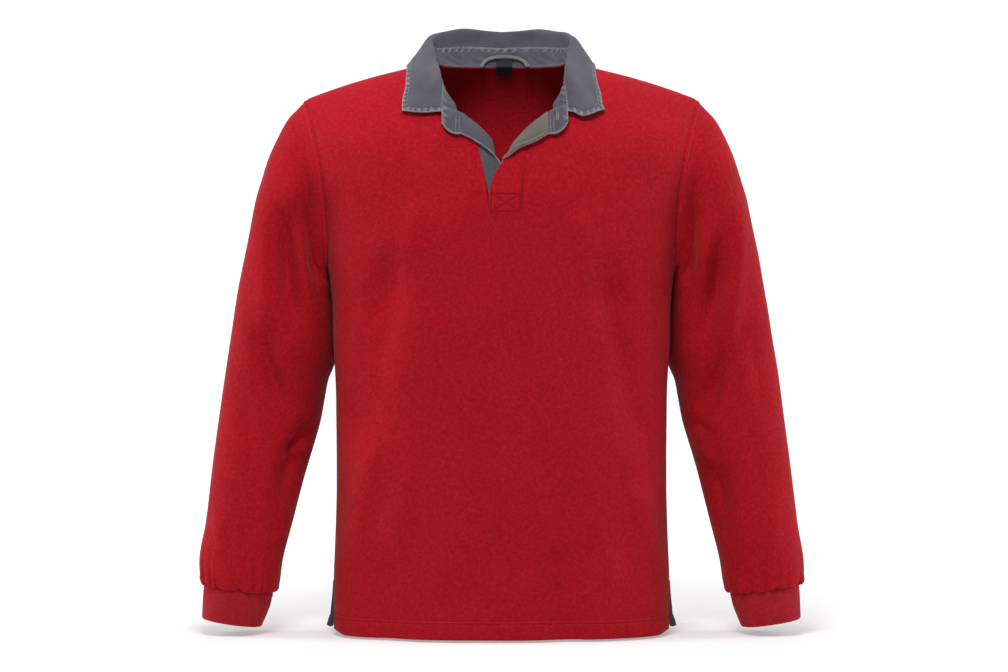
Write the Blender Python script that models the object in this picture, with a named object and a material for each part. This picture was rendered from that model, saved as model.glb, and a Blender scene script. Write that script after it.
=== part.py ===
"""A collared henley sweatshirt in its worn form, with no wearer in it.

Metres, +Z up. The chest faces -Y, and +X is the viewer's right. The origin is in the middle of the neck's
base, level with the inner ends of the shoulder seams.

Every piece of cloth is a wall round a middle surface. The body's middle surface is a depth over a place
(x, z) of its front or back view, and the sleeves are rings between an outer and an inner edge. What lies on
the body, such as the plackets and the turned stand, is the body's own surface moved out.
"""

import bpy
import numpy as np

# Driving sizes
FLEECE = 0.0023
HEM_FLEECE = 0.0030
CANVAS = 0.0016
PLACKET_CLOTH = 0.0014
FACING_CLOTH = 0.0010
SEAM_GAP = 0.0003
SHOULDER_TIP_X = 0.2498
NECK_SIDE_X = 0.0875
ARMPIT_Z = -0.255
VENT_TOP_Z = -0.655
HEM_FOLD_Z = -0.7045
HEM_Z = -0.7225
SLIT_END_Z = -0.1935
BODY_SQUARENESS = 2.5
SLEEVE_SQUARENESS = 2.15
SHOULDER_ROUND = 0.120
BUTTON_RADIUS = 0.0055
BUTTON_THICK = 0.0021

# How finely each surface is cut
ARMHOLE_STEPS = 14
SHOULDER_STEPS = 6
SLEEVE_RINGS = 21
CUFF_RINGS = 3
COLLAR_STEPS_PER_SECTION = 2
PLACKET_STEPS_PER_ROW = 2

# Trunk seen from the front and from the side: height, half width of the front and of the back panel,
# depth of the front and of the back from the side seams' plane.
TRUNK = (
    (-0.7225, 0.2160, 0.2292, 0.1150, 0.1120),
    (-0.7000, 0.2157, 0.2210, 0.1155, 0.1110),
    (-0.6550, 0.2153, 0.2153, 0.1165, 0.1095),
    (-0.6070, 0.2135, 0.2135, 0.1170, 0.1080),
    (-0.5300, 0.2115, 0.2115, 0.1180, 0.1060),
    (-0.4270, 0.2122, 0.2122, 0.1210, 0.1075),
    (-0.3500, 0.2158, 0.2158, 0.1245, 0.1120),
    (-0.3000, 0.2175, 0.2175, 0.1265, 0.1155),
    (-0.2550, 0.2227, 0.2227, 0.1265, 0.1190),
    (-0.2000, 0.2300, 0.2300, 0.1245, 0.1225),
    (-0.1500, 0.2470, 0.2470, 0.1185, 0.1245),
    (-0.1000, 0.2640, 0.2640, 0.1090, 0.1245),
    (-0.0500, 0.2720, 0.2720, 0.0960, 0.1210),
    (0.0000, 0.2780, 0.2780, 0.0840, 0.1170),
    (0.0600, 0.2800, 0.2800, 0.0750, 0.1120),
)

# Armhole seam seen from the front: height, distance from the middle. It ends at the armpit.
ARMHOLE = (
    (-0.2550, 0.22155),
    (-0.2450, 0.2207),
    (-0.2090, 0.2202),
    (-0.1650, 0.2232),
    (-0.1390, 0.2262),
    (-0.0900, 0.2360),
    (-0.0600, 0.2442),
    (-0.0418, 0.2498),
)

# How far each panel's edge stands back from the side seam's line down the vent: height, front, back.
VENT = (
    (-0.7225, 0.0030, 0.0026),
    (-0.6900, 0.0010, 0.0009),
    (-0.6700, 0.0003, 0.0003),
    (-0.6550, 0.0000, 0.0000),
)

# Rows of the panels below the armpit.
LOWER_ROWS = (-0.290, -0.360, -0.430, -0.510, -0.585, VENT_TOP_Z, -0.682, HEM_FOLD_Z, HEM_Z)

# Columns of the panels from the middle to the side, as shares of the half width at the hem.
FRONT_COLUMNS = (
    0.100, 0.190, 0.245, 0.290, 0.330, 0.370, 0.405, 0.440, 0.475, 0.510, 0.545, 0.580, 0.615, 0.660,
    0.730, 0.810, 0.880, 0.935, 0.980, 1.000,
)
BACK_COLUMNS = (0.000, 0.120, 0.235, 0.330, 0.420, 0.500, 0.580, 0.700, 0.800, 0.880, 0.940, 0.982, 1.000)

# Sleeve outline seen from the front: height, distance of the outer edge from the middle.
SLEEVE_OUTER = (
    (-0.6610, 0.3795),
    (-0.6520, 0.3850),
    (-0.6330, 0.3866),
    (-0.5810, 0.3792),
    (-0.5300, 0.3740),
    (-0.4780, 0.3680),
    (-0.4270, 0.3617),
    (-0.3760, 0.3543),
    (-0.3240, 0.3452),
    (-0.2730, 0.3358),
    (-0.2210, 0.3256),
    (-0.1700, 0.3148),
    (-0.1440, 0.3068),
    (-0.1180, 0.2986),
    (-0.0930, 0.2878),
    (-0.0670, 0.2737),
    (-0.0540, 0.2619),
    (-0.0420, 0.2510),
)
SLEEVE_INNER = (
    (-0.6725, 0.2930),
    (-0.6670, 0.2878),
    (-0.6600, 0.2850),
    (-0.6330, 0.2810),
    (-0.5810, 0.2678),
    (-0.5300, 0.2558),
    (-0.4780, 0.2416),
    (-0.4530, 0.2352),
    (-0.4270, 0.2304),
    (-0.4010, 0.2252),
    (-0.3850, 0.2185),
    (-0.3700, 0.2145),
    (-0.3520, 0.2128),
    (-0.3250, 0.2142),
    (-0.2980, 0.2190),
    (-0.2780, 0.2236),
    (-0.2650, 0.2238),
    (-0.2550, 0.2206),
)

# Sleeve rings: place along the sleeve, height at the outer and at the inner edge, middle of the ring from
# front to back, half depth, and how far back the inner edge stands from that middle.
SLEEVE = (
    (0.000, -0.0420, -0.2550, 0.0000, 0.0600, 0.0000),
    (0.087, -0.0760, -0.2750, 0.0030, 0.0655, 0.0050),
    (0.174, -0.1260, -0.2980, 0.0090, 0.0695, 0.0160),
    (0.348, -0.2380, -0.3570, 0.0205, 0.0705, 0.0220),
    (0.522, -0.3550, -0.4380, 0.0245, 0.0650, 0.0100),
    (0.696, -0.4780, -0.5320, 0.0135, 0.0590, 0.0000),
    (0.870, -0.6060, -0.6320, -0.0075, 0.0525, 0.0000),
    (0.957, -0.6500, -0.6640, -0.0135, 0.0480, 0.0000),
    (1.000, -0.6610, -0.6725, -0.0145, 0.0412, 0.0000),
)
CAP_BLEND = 0.15

# Cuff rings: place down the cuff, outer edge x and z, inner edge x and z, middle and half depth.
CUFF = (
    (0.00, 0.3795, -0.6610, 0.2930, -0.6725, -0.0145, 0.0412),
    (0.30, 0.3812, -0.6740, 0.2952, -0.6855, -0.0148, 0.0412),
    (1.00, 0.3826, -0.7045, 0.3072, -0.7155, -0.0155, 0.0372),
)
GATHER_DEPTH = 0.0016
GATHER_REACH = 0.050

# Soft folds: wearer's side of the drawing (-1 viewer's left, 1 right, 0 both), face (-1 front, 1 back),
# three places (x, z) down the fold, half width, height (a trough is below zero).
SLEEVE_FOLDS = (
    (-1, -1, 0.276, -0.177, 0.274, -0.240, 0.256, -0.345, 0.0150, -0.0085),
    (-1, -1, 0.250, -0.090, 0.238, -0.200, 0.232, -0.300, 0.0150, -0.0080),
    (-1, -1, 0.252, -0.205, 0.254, -0.270, 0.246, -0.335, 0.0120, 0.0040),
    (-1, -1, 0.309, -0.335, 0.293, -0.396, 0.270, -0.447, 0.0140, -0.0060),
    (-1, -1, 0.244, -0.455, 0.262, -0.508, 0.281, -0.555, 0.0170, -0.0060),
    (1, -1, 0.281, -0.215, 0.273, -0.287, 0.248, -0.355, 0.0150, -0.0085),
    (1, -1, 0.244, -0.110, 0.234, -0.200, 0.230, -0.300, 0.0150, -0.0080),
    (1, -1, 0.301, -0.170, 0.296, -0.270, 0.280, -0.425, 0.0110, 0.0045),
    (1, -1, 0.284, -0.362, 0.266, -0.412, 0.250, -0.455, 0.0140, -0.0055),
    (1, -1, 0.264, -0.505, 0.272, -0.545, 0.282, -0.585, 0.0180, -0.0050),
    (0, 1, 0.278, -0.160, 0.268, -0.235, 0.250, -0.330, 0.0150, -0.0070),
    (0, 1, 0.330, -0.350, 0.300, -0.400, 0.262, -0.430, 0.0160, -0.0060),
    (0, 1, 0.345, -0.450, 0.310, -0.480, 0.270, -0.490, 0.0150, -0.0050),
)
TRUNK_FOLDS = (
    (-1, -1, 0.128, -0.225, 0.152, -0.340, 0.192, -0.500, 0.0240, -0.0060),
    (-1, -1, 0.158, -0.470, 0.182, -0.555, 0.200, -0.640, 0.0180, 0.0040),
    (1, -1, 0.120, -0.225, 0.157, -0.380, 0.195, -0.520, 0.0240, -0.0060),
    (1, -1, 0.168, -0.520, 0.190, -0.593, 0.203, -0.655, 0.0160, 0.0040),
    (-1, -1, 0.150, -0.610, 0.148, -0.670, 0.140, -0.760, 0.0280, -0.0035),
    (1, -1, 0.070, -0.600, 0.078, -0.660, 0.085, -0.760, 0.0300, -0.0035),
    (0, 1, 0.165, -0.150, 0.150, -0.330, 0.135, -0.520, 0.0280, -0.0060),
    (0, 1, 0.050, -0.420, 0.062, -0.560, 0.070, -0.760, 0.0320, -0.0045),
)

# Neck sections from the middle of the back to the stand's front end. Foot of the stand (x, z on the body),
# then x, y, z of the stand's middle, the stand's top, the roll, the fall's middle and the fall's edge.
NECK_SECTIONS = (
    (0.0000, 0.0090, 0.0000, 0.0812, 0.0220, 0.0000, 0.0842, 0.0350,
     0.0000, 0.0895, 0.0575, 0.0000, 0.0985, 0.0280, 0.0000, 0.1010, -0.0040),
    (0.0450, 0.0075, 0.0465, 0.0725, 0.0212, 0.0480, 0.0755, 0.0345,
     0.0500, 0.0800, 0.0560, 0.0545, 0.0895, 0.0275, 0.0575, 0.0925, -0.0035),
    (0.0765, 0.0062, 0.0790, 0.0415, 0.0185, 0.0815, 0.0440, 0.0300,
     0.0840, 0.0470, 0.0500, 0.0930, 0.0550, 0.0260, 0.0995, 0.0590, 0.0000),
    (0.0875, 0.0081, 0.0882, 0.0012, 0.0170, 0.0886, 0.0020, 0.0265,
     0.0915, 0.0020, 0.0425, 0.1075, 0.0010, 0.0235, 0.1188, 0.0000, 0.0020),
    (0.0868, -0.0060, 0.0862, -0.0388, 0.0000, 0.0850, -0.0380, 0.0035,
     0.0862, -0.0355, 0.0130, 0.1050, -0.0370, 0.0035, 0.1200, -0.0385, -0.0100),
    (0.0795, -0.0260, 0.0797, -0.0655, -0.0190, 0.0786, -0.0655, -0.0130,
     0.0808, -0.0645, -0.0045, 0.1010, -0.0635, -0.0180, 0.1220, -0.0620, -0.0315),
    (0.0690, -0.0460, 0.0712, -0.0840, -0.0370, 0.0742, -0.0815, -0.0290,
     0.0778, -0.0815, -0.0215, 0.0990, -0.0780, -0.0360, 0.1235, -0.0745, -0.0455),
)
# The same places further forward, as x, z and height over the front panel.
TURNED_SECTIONS = (
    (0.0575, -0.0690, 0.0000, 0.0600, -0.0530, 0.0050, 0.0740, -0.0460, 0.0074,
     0.0785, -0.0440, 0.0084, 0.1000, -0.0520, 0.0078, 0.1242, -0.0590, 0.0062),
    (0.0492, -0.0663, 0.0044, 0.0620, -0.0665, 0.0064, 0.0742, -0.0655, 0.0070,
     0.0785, -0.0650, 0.0074, 0.1000, -0.0655, 0.0070, 0.1244, -0.0635, 0.0058),
    (0.0504, -0.0937, 0.0052, 0.0640, -0.0915, 0.0062, 0.0745, -0.0795, 0.0066,
     0.0745, -0.0795, 0.0066, 0.0745, -0.0795, 0.0066, 0.0745, -0.0795, 0.0066),
)
# The viewer's right front lies further open: section, shift of the stand and roll, shift of the fall's edge.
RIGHT_SPREAD = (
    (0.0, 0.0000, 0.0000),
    (4.0, 0.0000, 0.0000),
    (5.0, 0.0020, 0.0010),
    (6.0, 0.0050, 0.0025),
    (7.0, 0.0075, 0.0040),
    (8.0, 0.0085, 0.0045),
    (9.0, 0.0085, 0.0045),
)
SLIT_TOP_SECTION = 7
FALL_END_SECTION = 8
ROLL_RADIUS = 0.0022

# Placket rows from the box up: seam with the panel, roll and free edge as x, z, their heights over the panel,
# and how far the row is turned outwards (0 flat, 1 turned).
UNDER_PLACKET = (
    (-0.0155, -0.1930, 0.0040, -0.1930, 0.0235, -0.1930, -0.0030, -0.0030, -0.0030, 0.0),
    (-0.0155, -0.1680, 0.0035, -0.1680, 0.0220, -0.1680, -0.0030, -0.0030, -0.0030, 0.0),
    (-0.0205, -0.1460, -0.0040, -0.1465, 0.0100, -0.1470, -0.0022, -0.0030, -0.0032, 0.0),
    (-0.0250, -0.1260, -0.0090, -0.1255, -0.0020, -0.1270, 0.0000, -0.0004, 0.0004, 0.0),
    (-0.0275, -0.1155, -0.0095, -0.1135, -0.0112, -0.1190, 0.0000, 0.0010, 0.0040, 0.8),
    (-0.0300, -0.1050, -0.0110, -0.1020, -0.0203, -0.1110, 0.0000, 0.0028, 0.0050, 1.0),
    (-0.0435, -0.0870, -0.0273, -0.0838, -0.0385, -0.0993, 0.0000, 0.0030, 0.0050, 1.0),
    (-0.0575, -0.0690, -0.0492, -0.0663, -0.0504, -0.0937, 0.0000, 0.0030, 0.0050, 1.0),
)
UPPER_PLACKET = (
    (0.0252, -0.1932, 0.0050, -0.1932, -0.0152, -0.1932, 0.0012, 0.0012, 0.0012, 0.0),
    (0.0252, -0.1680, 0.0050, -0.1670, -0.0155, -0.1650, 0.0012, 0.0012, 0.0012, 0.0),
    (0.0280, -0.1450, 0.0090, -0.1445, -0.0088, -0.1440, 0.0012, 0.0014, 0.0016, 0.0),
    (0.0310, -0.1220, 0.0085, -0.1205, 0.0022, -0.1268, 0.0008, 0.0022, 0.0036, 0.3),
    (0.0330, -0.1140, 0.0125, -0.1120, 0.0140, -0.1185, 0.0006, 0.0026, 0.0054, 1.0),
    (0.0350, -0.1060, 0.0170, -0.1045, 0.0215, -0.1120, 0.0004, 0.0030, 0.0046, 1.0),
    (0.0480, -0.0890, 0.0340, -0.0850, 0.0440, -0.1035, 0.0002, 0.0030, 0.0048, 1.0),
    (0.0650, -0.0690, 0.0577, -0.0663, 0.0589, -0.0937, 0.0000, 0.0030, 0.0050, 1.0),
)
# Places across a placket row: share of the way from seam to roll, then from roll to edge, and the height
# that a turned row has there over the straight line between its heights.
PLACKET_TO_ROLL = ((0.00, 0.0), (0.45, -0.0007), (0.85, -0.0014), (1.00, 0.0))
PLACKET_TO_EDGE = ((0.30, 0.0016), (0.65, 0.0012), (1.00, 0.0))

# Neck label: middle x, half width, top and bottom height. Hanger loop: ends and crown as x, z.
LABEL = (0.0033, 0.0105, 0.0200, -0.0010)
LABEL_CLOTH = 0.0010
HANGER_PATH = ((-0.0270, 0.0085), (-0.0215, 0.0165), (-0.0120, 0.0212), (0.0035, 0.0225),
               (0.0190, 0.0212), (0.0290, 0.0165), (0.0349, 0.0085))
HANGER_HALF_WIDTH = 0.0024
HANGER_CLOTH = 0.0012
HANGER_DEPTH = 0.0055
TAPE_WIDTH = 0.010
TAPE_CLOTH = 0.0010
TAPE_STEPS = 6
BUTTON_PLACE = (-0.0640, -0.0745)

# Colours: name, red, green, blue, roughness.
CLOTH = {
    "red_fleece": (0.392, 0.012, 0.020, 0.95),
    "grey_canvas": (0.125, 0.122, 0.150, 0.90),
    "facing": (0.160, 0.125, 0.120, 0.90),
    "label": (0.010, 0.012, 0.020, 0.80),
    "tape": (0.070, 0.055, 0.055, 0.90),
    "button": (0.300, 0.290, 0.300, 0.45),
}


def smooth(table, at):
    """Monotone cubic curves through a table's rows, by its first column, one for each other column."""
    rows = np.array(sorted(table), float)
    knots, values = rows[:, 0], rows[:, 1:]
    at = np.clip(np.asarray(at, float), knots[0], knots[-1])
    step = np.diff(knots)[:, None]
    rise = np.diff(values, axis=0) / step
    slope = np.concatenate([rise[:1], rise[:-1], rise[-1:]])
    before, after = rise[:-1], rise[1:]
    same_way = before * after > 0
    total = np.where(same_way, before + after, 1.0)
    slope[1:-1] = np.where(same_way, 2 * before * after / total, 0.0)
    cell = np.clip(np.searchsorted(knots, at, side="right") - 1, 0, len(knots) - 2)
    width = step[cell]
    part = (at - knots[cell])[..., None] / width
    return hermite(values[cell], values[cell + 1], slope[cell] * width, slope[cell + 1] * width, part)


def hermite(start, end, start_slope, end_slope, part):
    """A cubic between two values with given slopes, at part 0 to 1 of the way."""
    square, cube = part**2, part**3
    return (
        start * (2 * cube - 3 * square + 1)
        + end * (3 * square - 2 * cube)
        + start_slope * (cube - 2 * square + part)
        + end_slope * (cube - square)
    )


def through(points, at):
    """A smooth curve through points along their first axis, read at places counted in points."""
    points = np.asarray(points, float)
    at = np.asarray(at, float)
    slope = np.gradient(points, axis=0)
    cell = np.clip(np.floor(at).astype(int), 0, len(points) - 2)
    part = (at - cell).reshape(-1, *[1] * (points.ndim - 1))
    return hermite(points[cell], points[cell + 1], slope[cell], slope[cell + 1], part)


def straight(points, at):
    """Straight lines between points along their first axis, read at places counted in points."""
    points = np.asarray(points, float)
    at = np.asarray(at, float)
    cell = np.clip(np.floor(at).astype(int), 0, len(points) - 2)
    part = (at - cell).reshape(-1, *[1] * (points.ndim - 1))
    return points[cell] * (1 - part) + points[cell + 1] * part


def ease(value):
    """0 to 1 with level ends."""
    value = np.clip(value, 0.0, 1.0)
    return value * value * (3 - 2 * value)


def fold_height(folds, x, z, face):
    """Height of the soft folds over a surface at places x, z of its front or back view."""
    total = np.zeros(np.shape(x))
    way = np.linspace(0.0, 1.0, 25)
    for side, fold_face, x0, z0, x1, z1, x2, z2, half, height in folds:
        if fold_face != face:
            continue
        for sign in (-1, 1):
            if side not in (0, sign):
                continue
            line_x = sign * ((1 - way) ** 2 * x0 + 2 * way * (1 - way) * x1 + way**2 * x2)
            line_z = (1 - way) ** 2 * z0 + 2 * way * (1 - way) * z1 + way**2 * z2
            apart = np.hypot(x[..., None] - line_x, z[..., None] - line_z)
            nearest = apart.argmin(axis=-1)
            fade = ease(4 * way) * ease(4 * (1 - way))
            total += height * fade[nearest] * np.exp(-((apart.min(axis=-1) / half) ** 2))
    return total


def shoulder_line(x):
    """Height of the shoulder seam's line, rising to the neck."""
    out = np.abs(x)
    rise = 0.040 * np.exp(-((out / 0.072) ** 2.4))
    drop = 0.63 * np.maximum(out - 0.090, 0.0) ** 1.48
    return rise - drop


def trunk_width(z, face):
    """Half width of a panel's full outline at a height, to the middle of its wall."""
    return smooth(TRUNK, z)[..., 0 if face < 0 else 1] - FLEECE / 2


def trunk_depth(x, z, face):
    """How far the body's middle surface stands from the plane of the side seams."""
    depth = smooth(TRUNK, z)[..., 2 if face < 0 else 3]
    across = np.clip(np.abs(x) / trunk_width(z, face), 0.0, 1.0)
    side_round = (1 - across**BODY_SQUARENESS) ** (1 / BODY_SQUARENESS)
    fall = np.clip((shoulder_line(x) - z) / SHOULDER_ROUND, 0.0, 1.0)
    top_round = np.sqrt(1 - (1 - fall) ** 2)
    return (depth + fold_height(TRUNK_FOLDS, x, z, face)) * side_round * top_round


def trunk_point(x, z, face, height=0.0):
    """The body's middle surface at x, z of its front (-1) or back (1), or a place that far outside it."""
    x, z = np.broadcast_arrays(np.asarray(x, float), np.asarray(z, float))
    point = np.stack([x, face * trunk_depth(x, z, face), z], axis=-1)
    lift = np.asarray(height, float) / np.maximum(np.abs(trunk_normal(x, z, face)[..., 1]), 0.55)
    point[..., 1] += face * lift
    return point


def trunk_normal(x, z, face):
    """The body's outward direction at x, z, read a little inside its seams."""
    near = 0.0012
    x, z = np.broadcast_arrays(np.asarray(x, float), np.asarray(z, float))
    inside_x = np.sign(x) * np.minimum(np.abs(x), trunk_width(z, face) - 1.5 * near)
    inside_z = np.minimum(z, shoulder_line(x) - 1.5 * near)
    over_x = trunk_depth(inside_x + near, inside_z, face) - trunk_depth(inside_x - near, inside_z, face)
    over_z = trunk_depth(inside_x, inside_z + near, face) - trunk_depth(inside_x, inside_z - near, face)
    ways = np.stack([-over_x, np.full(x.shape, face * 2 * near), -over_z], axis=-1)
    return ways / np.linalg.norm(ways, axis=-1, keepdims=True)


def panel_edge(z, face):
    """Distance of a panel's side edge from the middle: the armhole, the side seam, then the vent."""
    z = np.asarray(z, float)
    armhole = smooth(ARMHOLE, z)[..., 0]
    side = trunk_width(z, face) - smooth(VENT, z)[..., 0 if face < 0 else 1]
    return np.where(z > ARMPIT_Z, armhole, side)


def armhole_heights(count):
    """Heights down the armhole seam, evenly round it."""
    tip_z = shoulder_line(SHOULDER_TIP_X)
    turn = np.linspace(0.0, np.pi, count + 1)
    return tip_z + (ARMPIT_Z - tip_z) * (1 - np.cos(turn)) / 2


def foot_places(side, first, last):
    """The neck seam's places x and z on one side, at half sections from first to last."""
    rows = [row[:2] for row in NECK_SECTIONS] + [row[:2] for row in TURNED_SECTIONS]
    at = np.arange(first * COLLAR_STEPS_PER_SECTION, last * COLLAR_STEPS_PER_SECTION + 1)
    places = straight(rows, at / COLLAR_STEPS_PER_SECTION)
    places[:, 0] += spread(at / COLLAR_STEPS_PER_SECTION, side, 0)
    places[:, 0] *= side
    return places


def spread(section, side, column):
    """How far a neck section is shifted outwards on the viewer's right."""
    return smooth(RIGHT_SPREAD, section)[..., column] if side > 0 else 0.0 * np.asarray(section, float)


def front_top():
    """The front panel's upper edge, x and z from the viewer's left: shoulder, neckline, slit and back up."""
    shoulder = np.array(shoulder_columns())
    slit_rows = [0, 2, 3, 5, 6]
    left = np.array([UNDER_PLACKET[row][:2] for row in slit_rows])
    right = np.array([UPPER_PLACKET[row][:2] for row in slit_rows])
    left[0, 1] = right[0, 1] = SLIT_END_Z
    left = np.vstack([shoulder * (-1, 1), foot_places(-1, 3, SLIT_TOP_SECTION), left[::-1]])
    right = np.vstack([right, foot_places(1, 3, SLIT_TOP_SECTION)[::-1], shoulder[::-1]])
    return np.vstack([left, right])


def back_top():
    """The back panel's upper edge, x and z from the viewer's left."""
    shoulder = np.array(shoulder_columns())
    neck = foot_places(1, 0, 3)
    left = np.vstack([shoulder, neck[:0:-1]]) * (-1, 1)
    return np.vstack([left, neck, shoulder[::-1]])


def shoulder_columns():
    """Places down one shoulder seam from its tip, short of the neck."""
    inner = np.arcsin(NECK_SIDE_X / SHOULDER_TIP_X)
    turns = np.linspace(np.pi / 2, inner, SHOULDER_STEPS + 1)[:-1]
    return [(float(x), float(shoulder_line(x))) for x in SHOULDER_TIP_X * np.sin(turns)]


def panel(face, top, columns):
    """Middle surface of a front or back panel, rows from its upper edge to the hem."""
    count = len(top)
    even = np.array(columns)
    even = np.concatenate([-even[::-1], even[1:] if even[0] == 0 else even])
    top_share = top[:, 0] / panel_edge(top[:, 1], face)
    slit_corner = top[:, 1] == SLIT_END_Z
    even[slit_corner] = top_share[slit_corner]
    steps = np.arange(ARMHOLE_STEPS + 1) / ARMHOLE_STEPS
    round_rows = (1 - np.cos(np.pi * steps)) / 2
    shoulder_rows = 1 - np.cos(np.pi / 2 * steps)
    on_shoulder = (np.abs(top[:, 1] - shoulder_line(top[:, 0])) < 1e-4)[:, None]
    from_neck = np.hypot(np.abs(top[:, :1]) - NECK_SIDE_X, top[:, 1:] - shoulder_line(NECK_SIDE_X))
    evenness = np.where(on_shoulder, 0.0, np.clip(from_neck / 0.060, 0.0, 1.0))
    inner_rows = shoulder_rows + (steps - shoulder_rows) * evenness
    edge_weight = (np.abs(even) ** 8)[:, None]
    rows = inner_rows * (1 - edge_weight) + round_rows * edge_weight
    z = top[:, 1:] + (ARMPIT_Z - top[:, 1:]) * rows
    z[[0, -1]] = armhole_heights(ARMHOLE_STEPS)
    corner = 0.006 * ease((np.abs(even) - 0.93) / 0.07)[:, None]
    lower = np.tile(np.array(LOWER_ROWS), (count, 1))
    lower[:, -1:] += corner
    z = np.concatenate([z, lower], axis=1)
    length = (top[:, 1:] - z) / (top[:, 1:] - HEM_Z)
    share = top_share[:, None] + (even - top_share)[:, None] * (1 - (1 - length) ** 9)
    share[[0, -1]] = [[-1.0], [1.0]]
    x = share * panel_edge(z, face)
    middle = trunk_point(x, z, face)
    on_seam = (np.abs(share) == 1.0) & (z <= ARMPIT_Z) & (z >= VENT_TOP_Z)
    on_seam[:, 0] |= on_shoulder[:, 0]
    middle[on_seam, 1] = 0.0
    ways = trunk_normal(x, z, face)
    return np.ascontiguousarray(middle.transpose(1, 0, 2)), np.ascontiguousarray(ways.transpose(1, 0, 2))


def armhole_ring(turn, side):
    """The armhole seam round the sleeve: 0 at the shoulder, a quarter turn at the front, half at the armpit."""
    tip_z = shoulder_line(SHOULDER_TIP_X)
    z = tip_z + (ARMPIT_Z - tip_z) * (1 - np.cos(turn)) / 2
    x = smooth(ARMHOLE, z)[..., 0]
    front = trunk_point(side * x, z, -1)
    back = trunk_point(side * x, z, 1)
    ring = np.where((np.sin(turn) > 0)[..., None], front, back)
    ring[np.abs(np.sin(turn)) < 1e-9, 1] = 0.0
    return ring


def ring_points(outer, inner, middle_y, half_depth, turn, side, set_back=0.0):
    """A rounded ring between an outer and an inner edge (x, z), a quarter turn being the front."""
    cos, sin = np.cos(turn), np.sin(turn)
    along = np.sign(cos) * np.abs(cos) ** (2 / SLEEVE_SQUARENESS)
    ahead = np.sign(sin) * np.abs(sin) ** (2 / SLEEVE_SQUARENESS)
    x = (outer[0] + inner[0]) / 2 + along * (outer[0] - inner[0]) / 2
    z = (outer[1] + inner[1]) / 2 + along * (outer[1] - inner[1]) / 2
    return np.stack([side * x, middle_y - set_back * along - half_depth * ahead, z], axis=-1)


def sleeve_base(place, turn, side):
    """The sleeve's middle surface without its folds, at places along it and round it."""
    outer_z, inner_z, middle_y, half_depth, set_back = np.moveaxis(smooth(SLEEVE, place), -1, 0)
    outer_x = smooth(SLEEVE_OUTER, outer_z)[..., 0] - FLEECE / 2
    inner_x = smooth(SLEEVE_INNER, inner_z)[..., 0] + FLEECE / 2
    return ring_points((outer_x, outer_z), (inner_x, inner_z), middle_y, half_depth, turn, side, set_back)


def cuff_middle(place, turn, side):
    """The cuff's middle surface, at places down it and round it."""
    outer_x, outer_z, inner_x, inner_z, middle_y, half_depth = np.moveaxis(smooth(CUFF, place), -1, 0)
    outer = (outer_x - FLEECE / 2, outer_z)
    inner = (inner_x + FLEECE / 2, inner_z)
    return ring_points(outer, inner, middle_y, half_depth, turn, side)


def grid_normals(grid, closed):
    """Directions square to a grid of points, round its columns when they close on themselves."""
    down = np.gradient(grid, axis=0)
    if closed:
        across = np.roll(grid, -1, axis=1) - np.roll(grid, 1, axis=1)
    else:
        across = np.gradient(grid, axis=1)
    normal = np.cross(across, down)
    return normal / np.linalg.norm(normal, axis=-1, keepdims=True)


def sleeve(side):
    """Middle surface of a sleeve: rings from the armhole to the cuff, with its folds and gathers."""
    turn = np.linspace(0.0, 2 * np.pi, 2 * ARMHOLE_STEPS, endpoint=False)
    places = np.linspace(0.0, 1.0, SLEEVE_RINGS + 1)
    place, around = np.meshgrid(places, turn, indexing="ij")
    middle = sleeve_base(place, around, side)
    cap = armhole_ring(turn, side) - middle[0]
    middle += cap * (1 - ease(place / CAP_BLEND))[..., None]
    cuff_top = cuff_middle(np.zeros(len(turn)), turn, side)
    middle += (cuff_top - middle[-1]) * ease((place - 0.93) / 0.07)[..., None]
    normal = grid_normals(middle, True)
    normal *= np.sign(np.sum(normal[10, 0] * np.array([side, 0.0, 0.0])))
    height = np.zeros(place.shape)
    for face in (-1, 1):
        toward = np.clip(face * normal[..., 1] * 1.6, 0.0, 1.0)
        height += toward * fold_height(SLEEVE_FOLDS, middle[..., 0], middle[..., 2], face)
    free = ease(place / 0.10) * ease((1 - place) / 0.06)
    near_cuff = ease((place - (1 - GATHER_REACH - 0.06)) / 0.05) * ease((1 - place) / 0.012)
    wave = np.where(np.arange(len(turn)) % 2 == 0, 1.0, -1.0)
    uneven = 0.7 + 0.3 * np.cos(3 * around + side)
    middle += normal * (height * free + GATHER_DEPTH * near_cuff * wave * uneven)[..., None]
    normal = grid_normals(middle, True)
    normal *= np.sign(np.sum(normal[10, 0] * np.array([side, 0.0, 0.0])))
    return middle, normal


def cuff(side):
    """Middle surface of a cuff, rings from the sleeve's end down."""
    turn = np.linspace(0.0, 2 * np.pi, 2 * ARMHOLE_STEPS, endpoint=False)
    place, around = np.meshgrid(np.linspace(0.0, 1.0, CUFF_RINGS + 1), turn, indexing="ij")
    middle = cuff_middle(place, around, side)
    normal = grid_normals(middle, True)
    return middle, normal * np.sign(normal[0, 0, 0] * side)


def neck_columns(side):
    """The neck's sections on one side, as points of foot, middle, top, roll, fall middle and fall edge."""
    sections = []
    for row in NECK_SECTIONS:
        sections.append(np.vstack([np.zeros(3), np.array(row[2:]).reshape(5, 3)]))
    for row in TURNED_SECTIONS:
        places = np.array(row).reshape(6, 3)
        sections.append(trunk_point(places[:, 0], places[:, 1], -1, places[:, 2]))
    sections = np.array(sections)
    index = np.arange(len(sections))
    sections[:, :5, 0] += spread(index, side, 0)[:, None]
    sections[:, 5, 0] += spread(index, side, 1)
    sections[..., 0] *= side
    return sections


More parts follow.
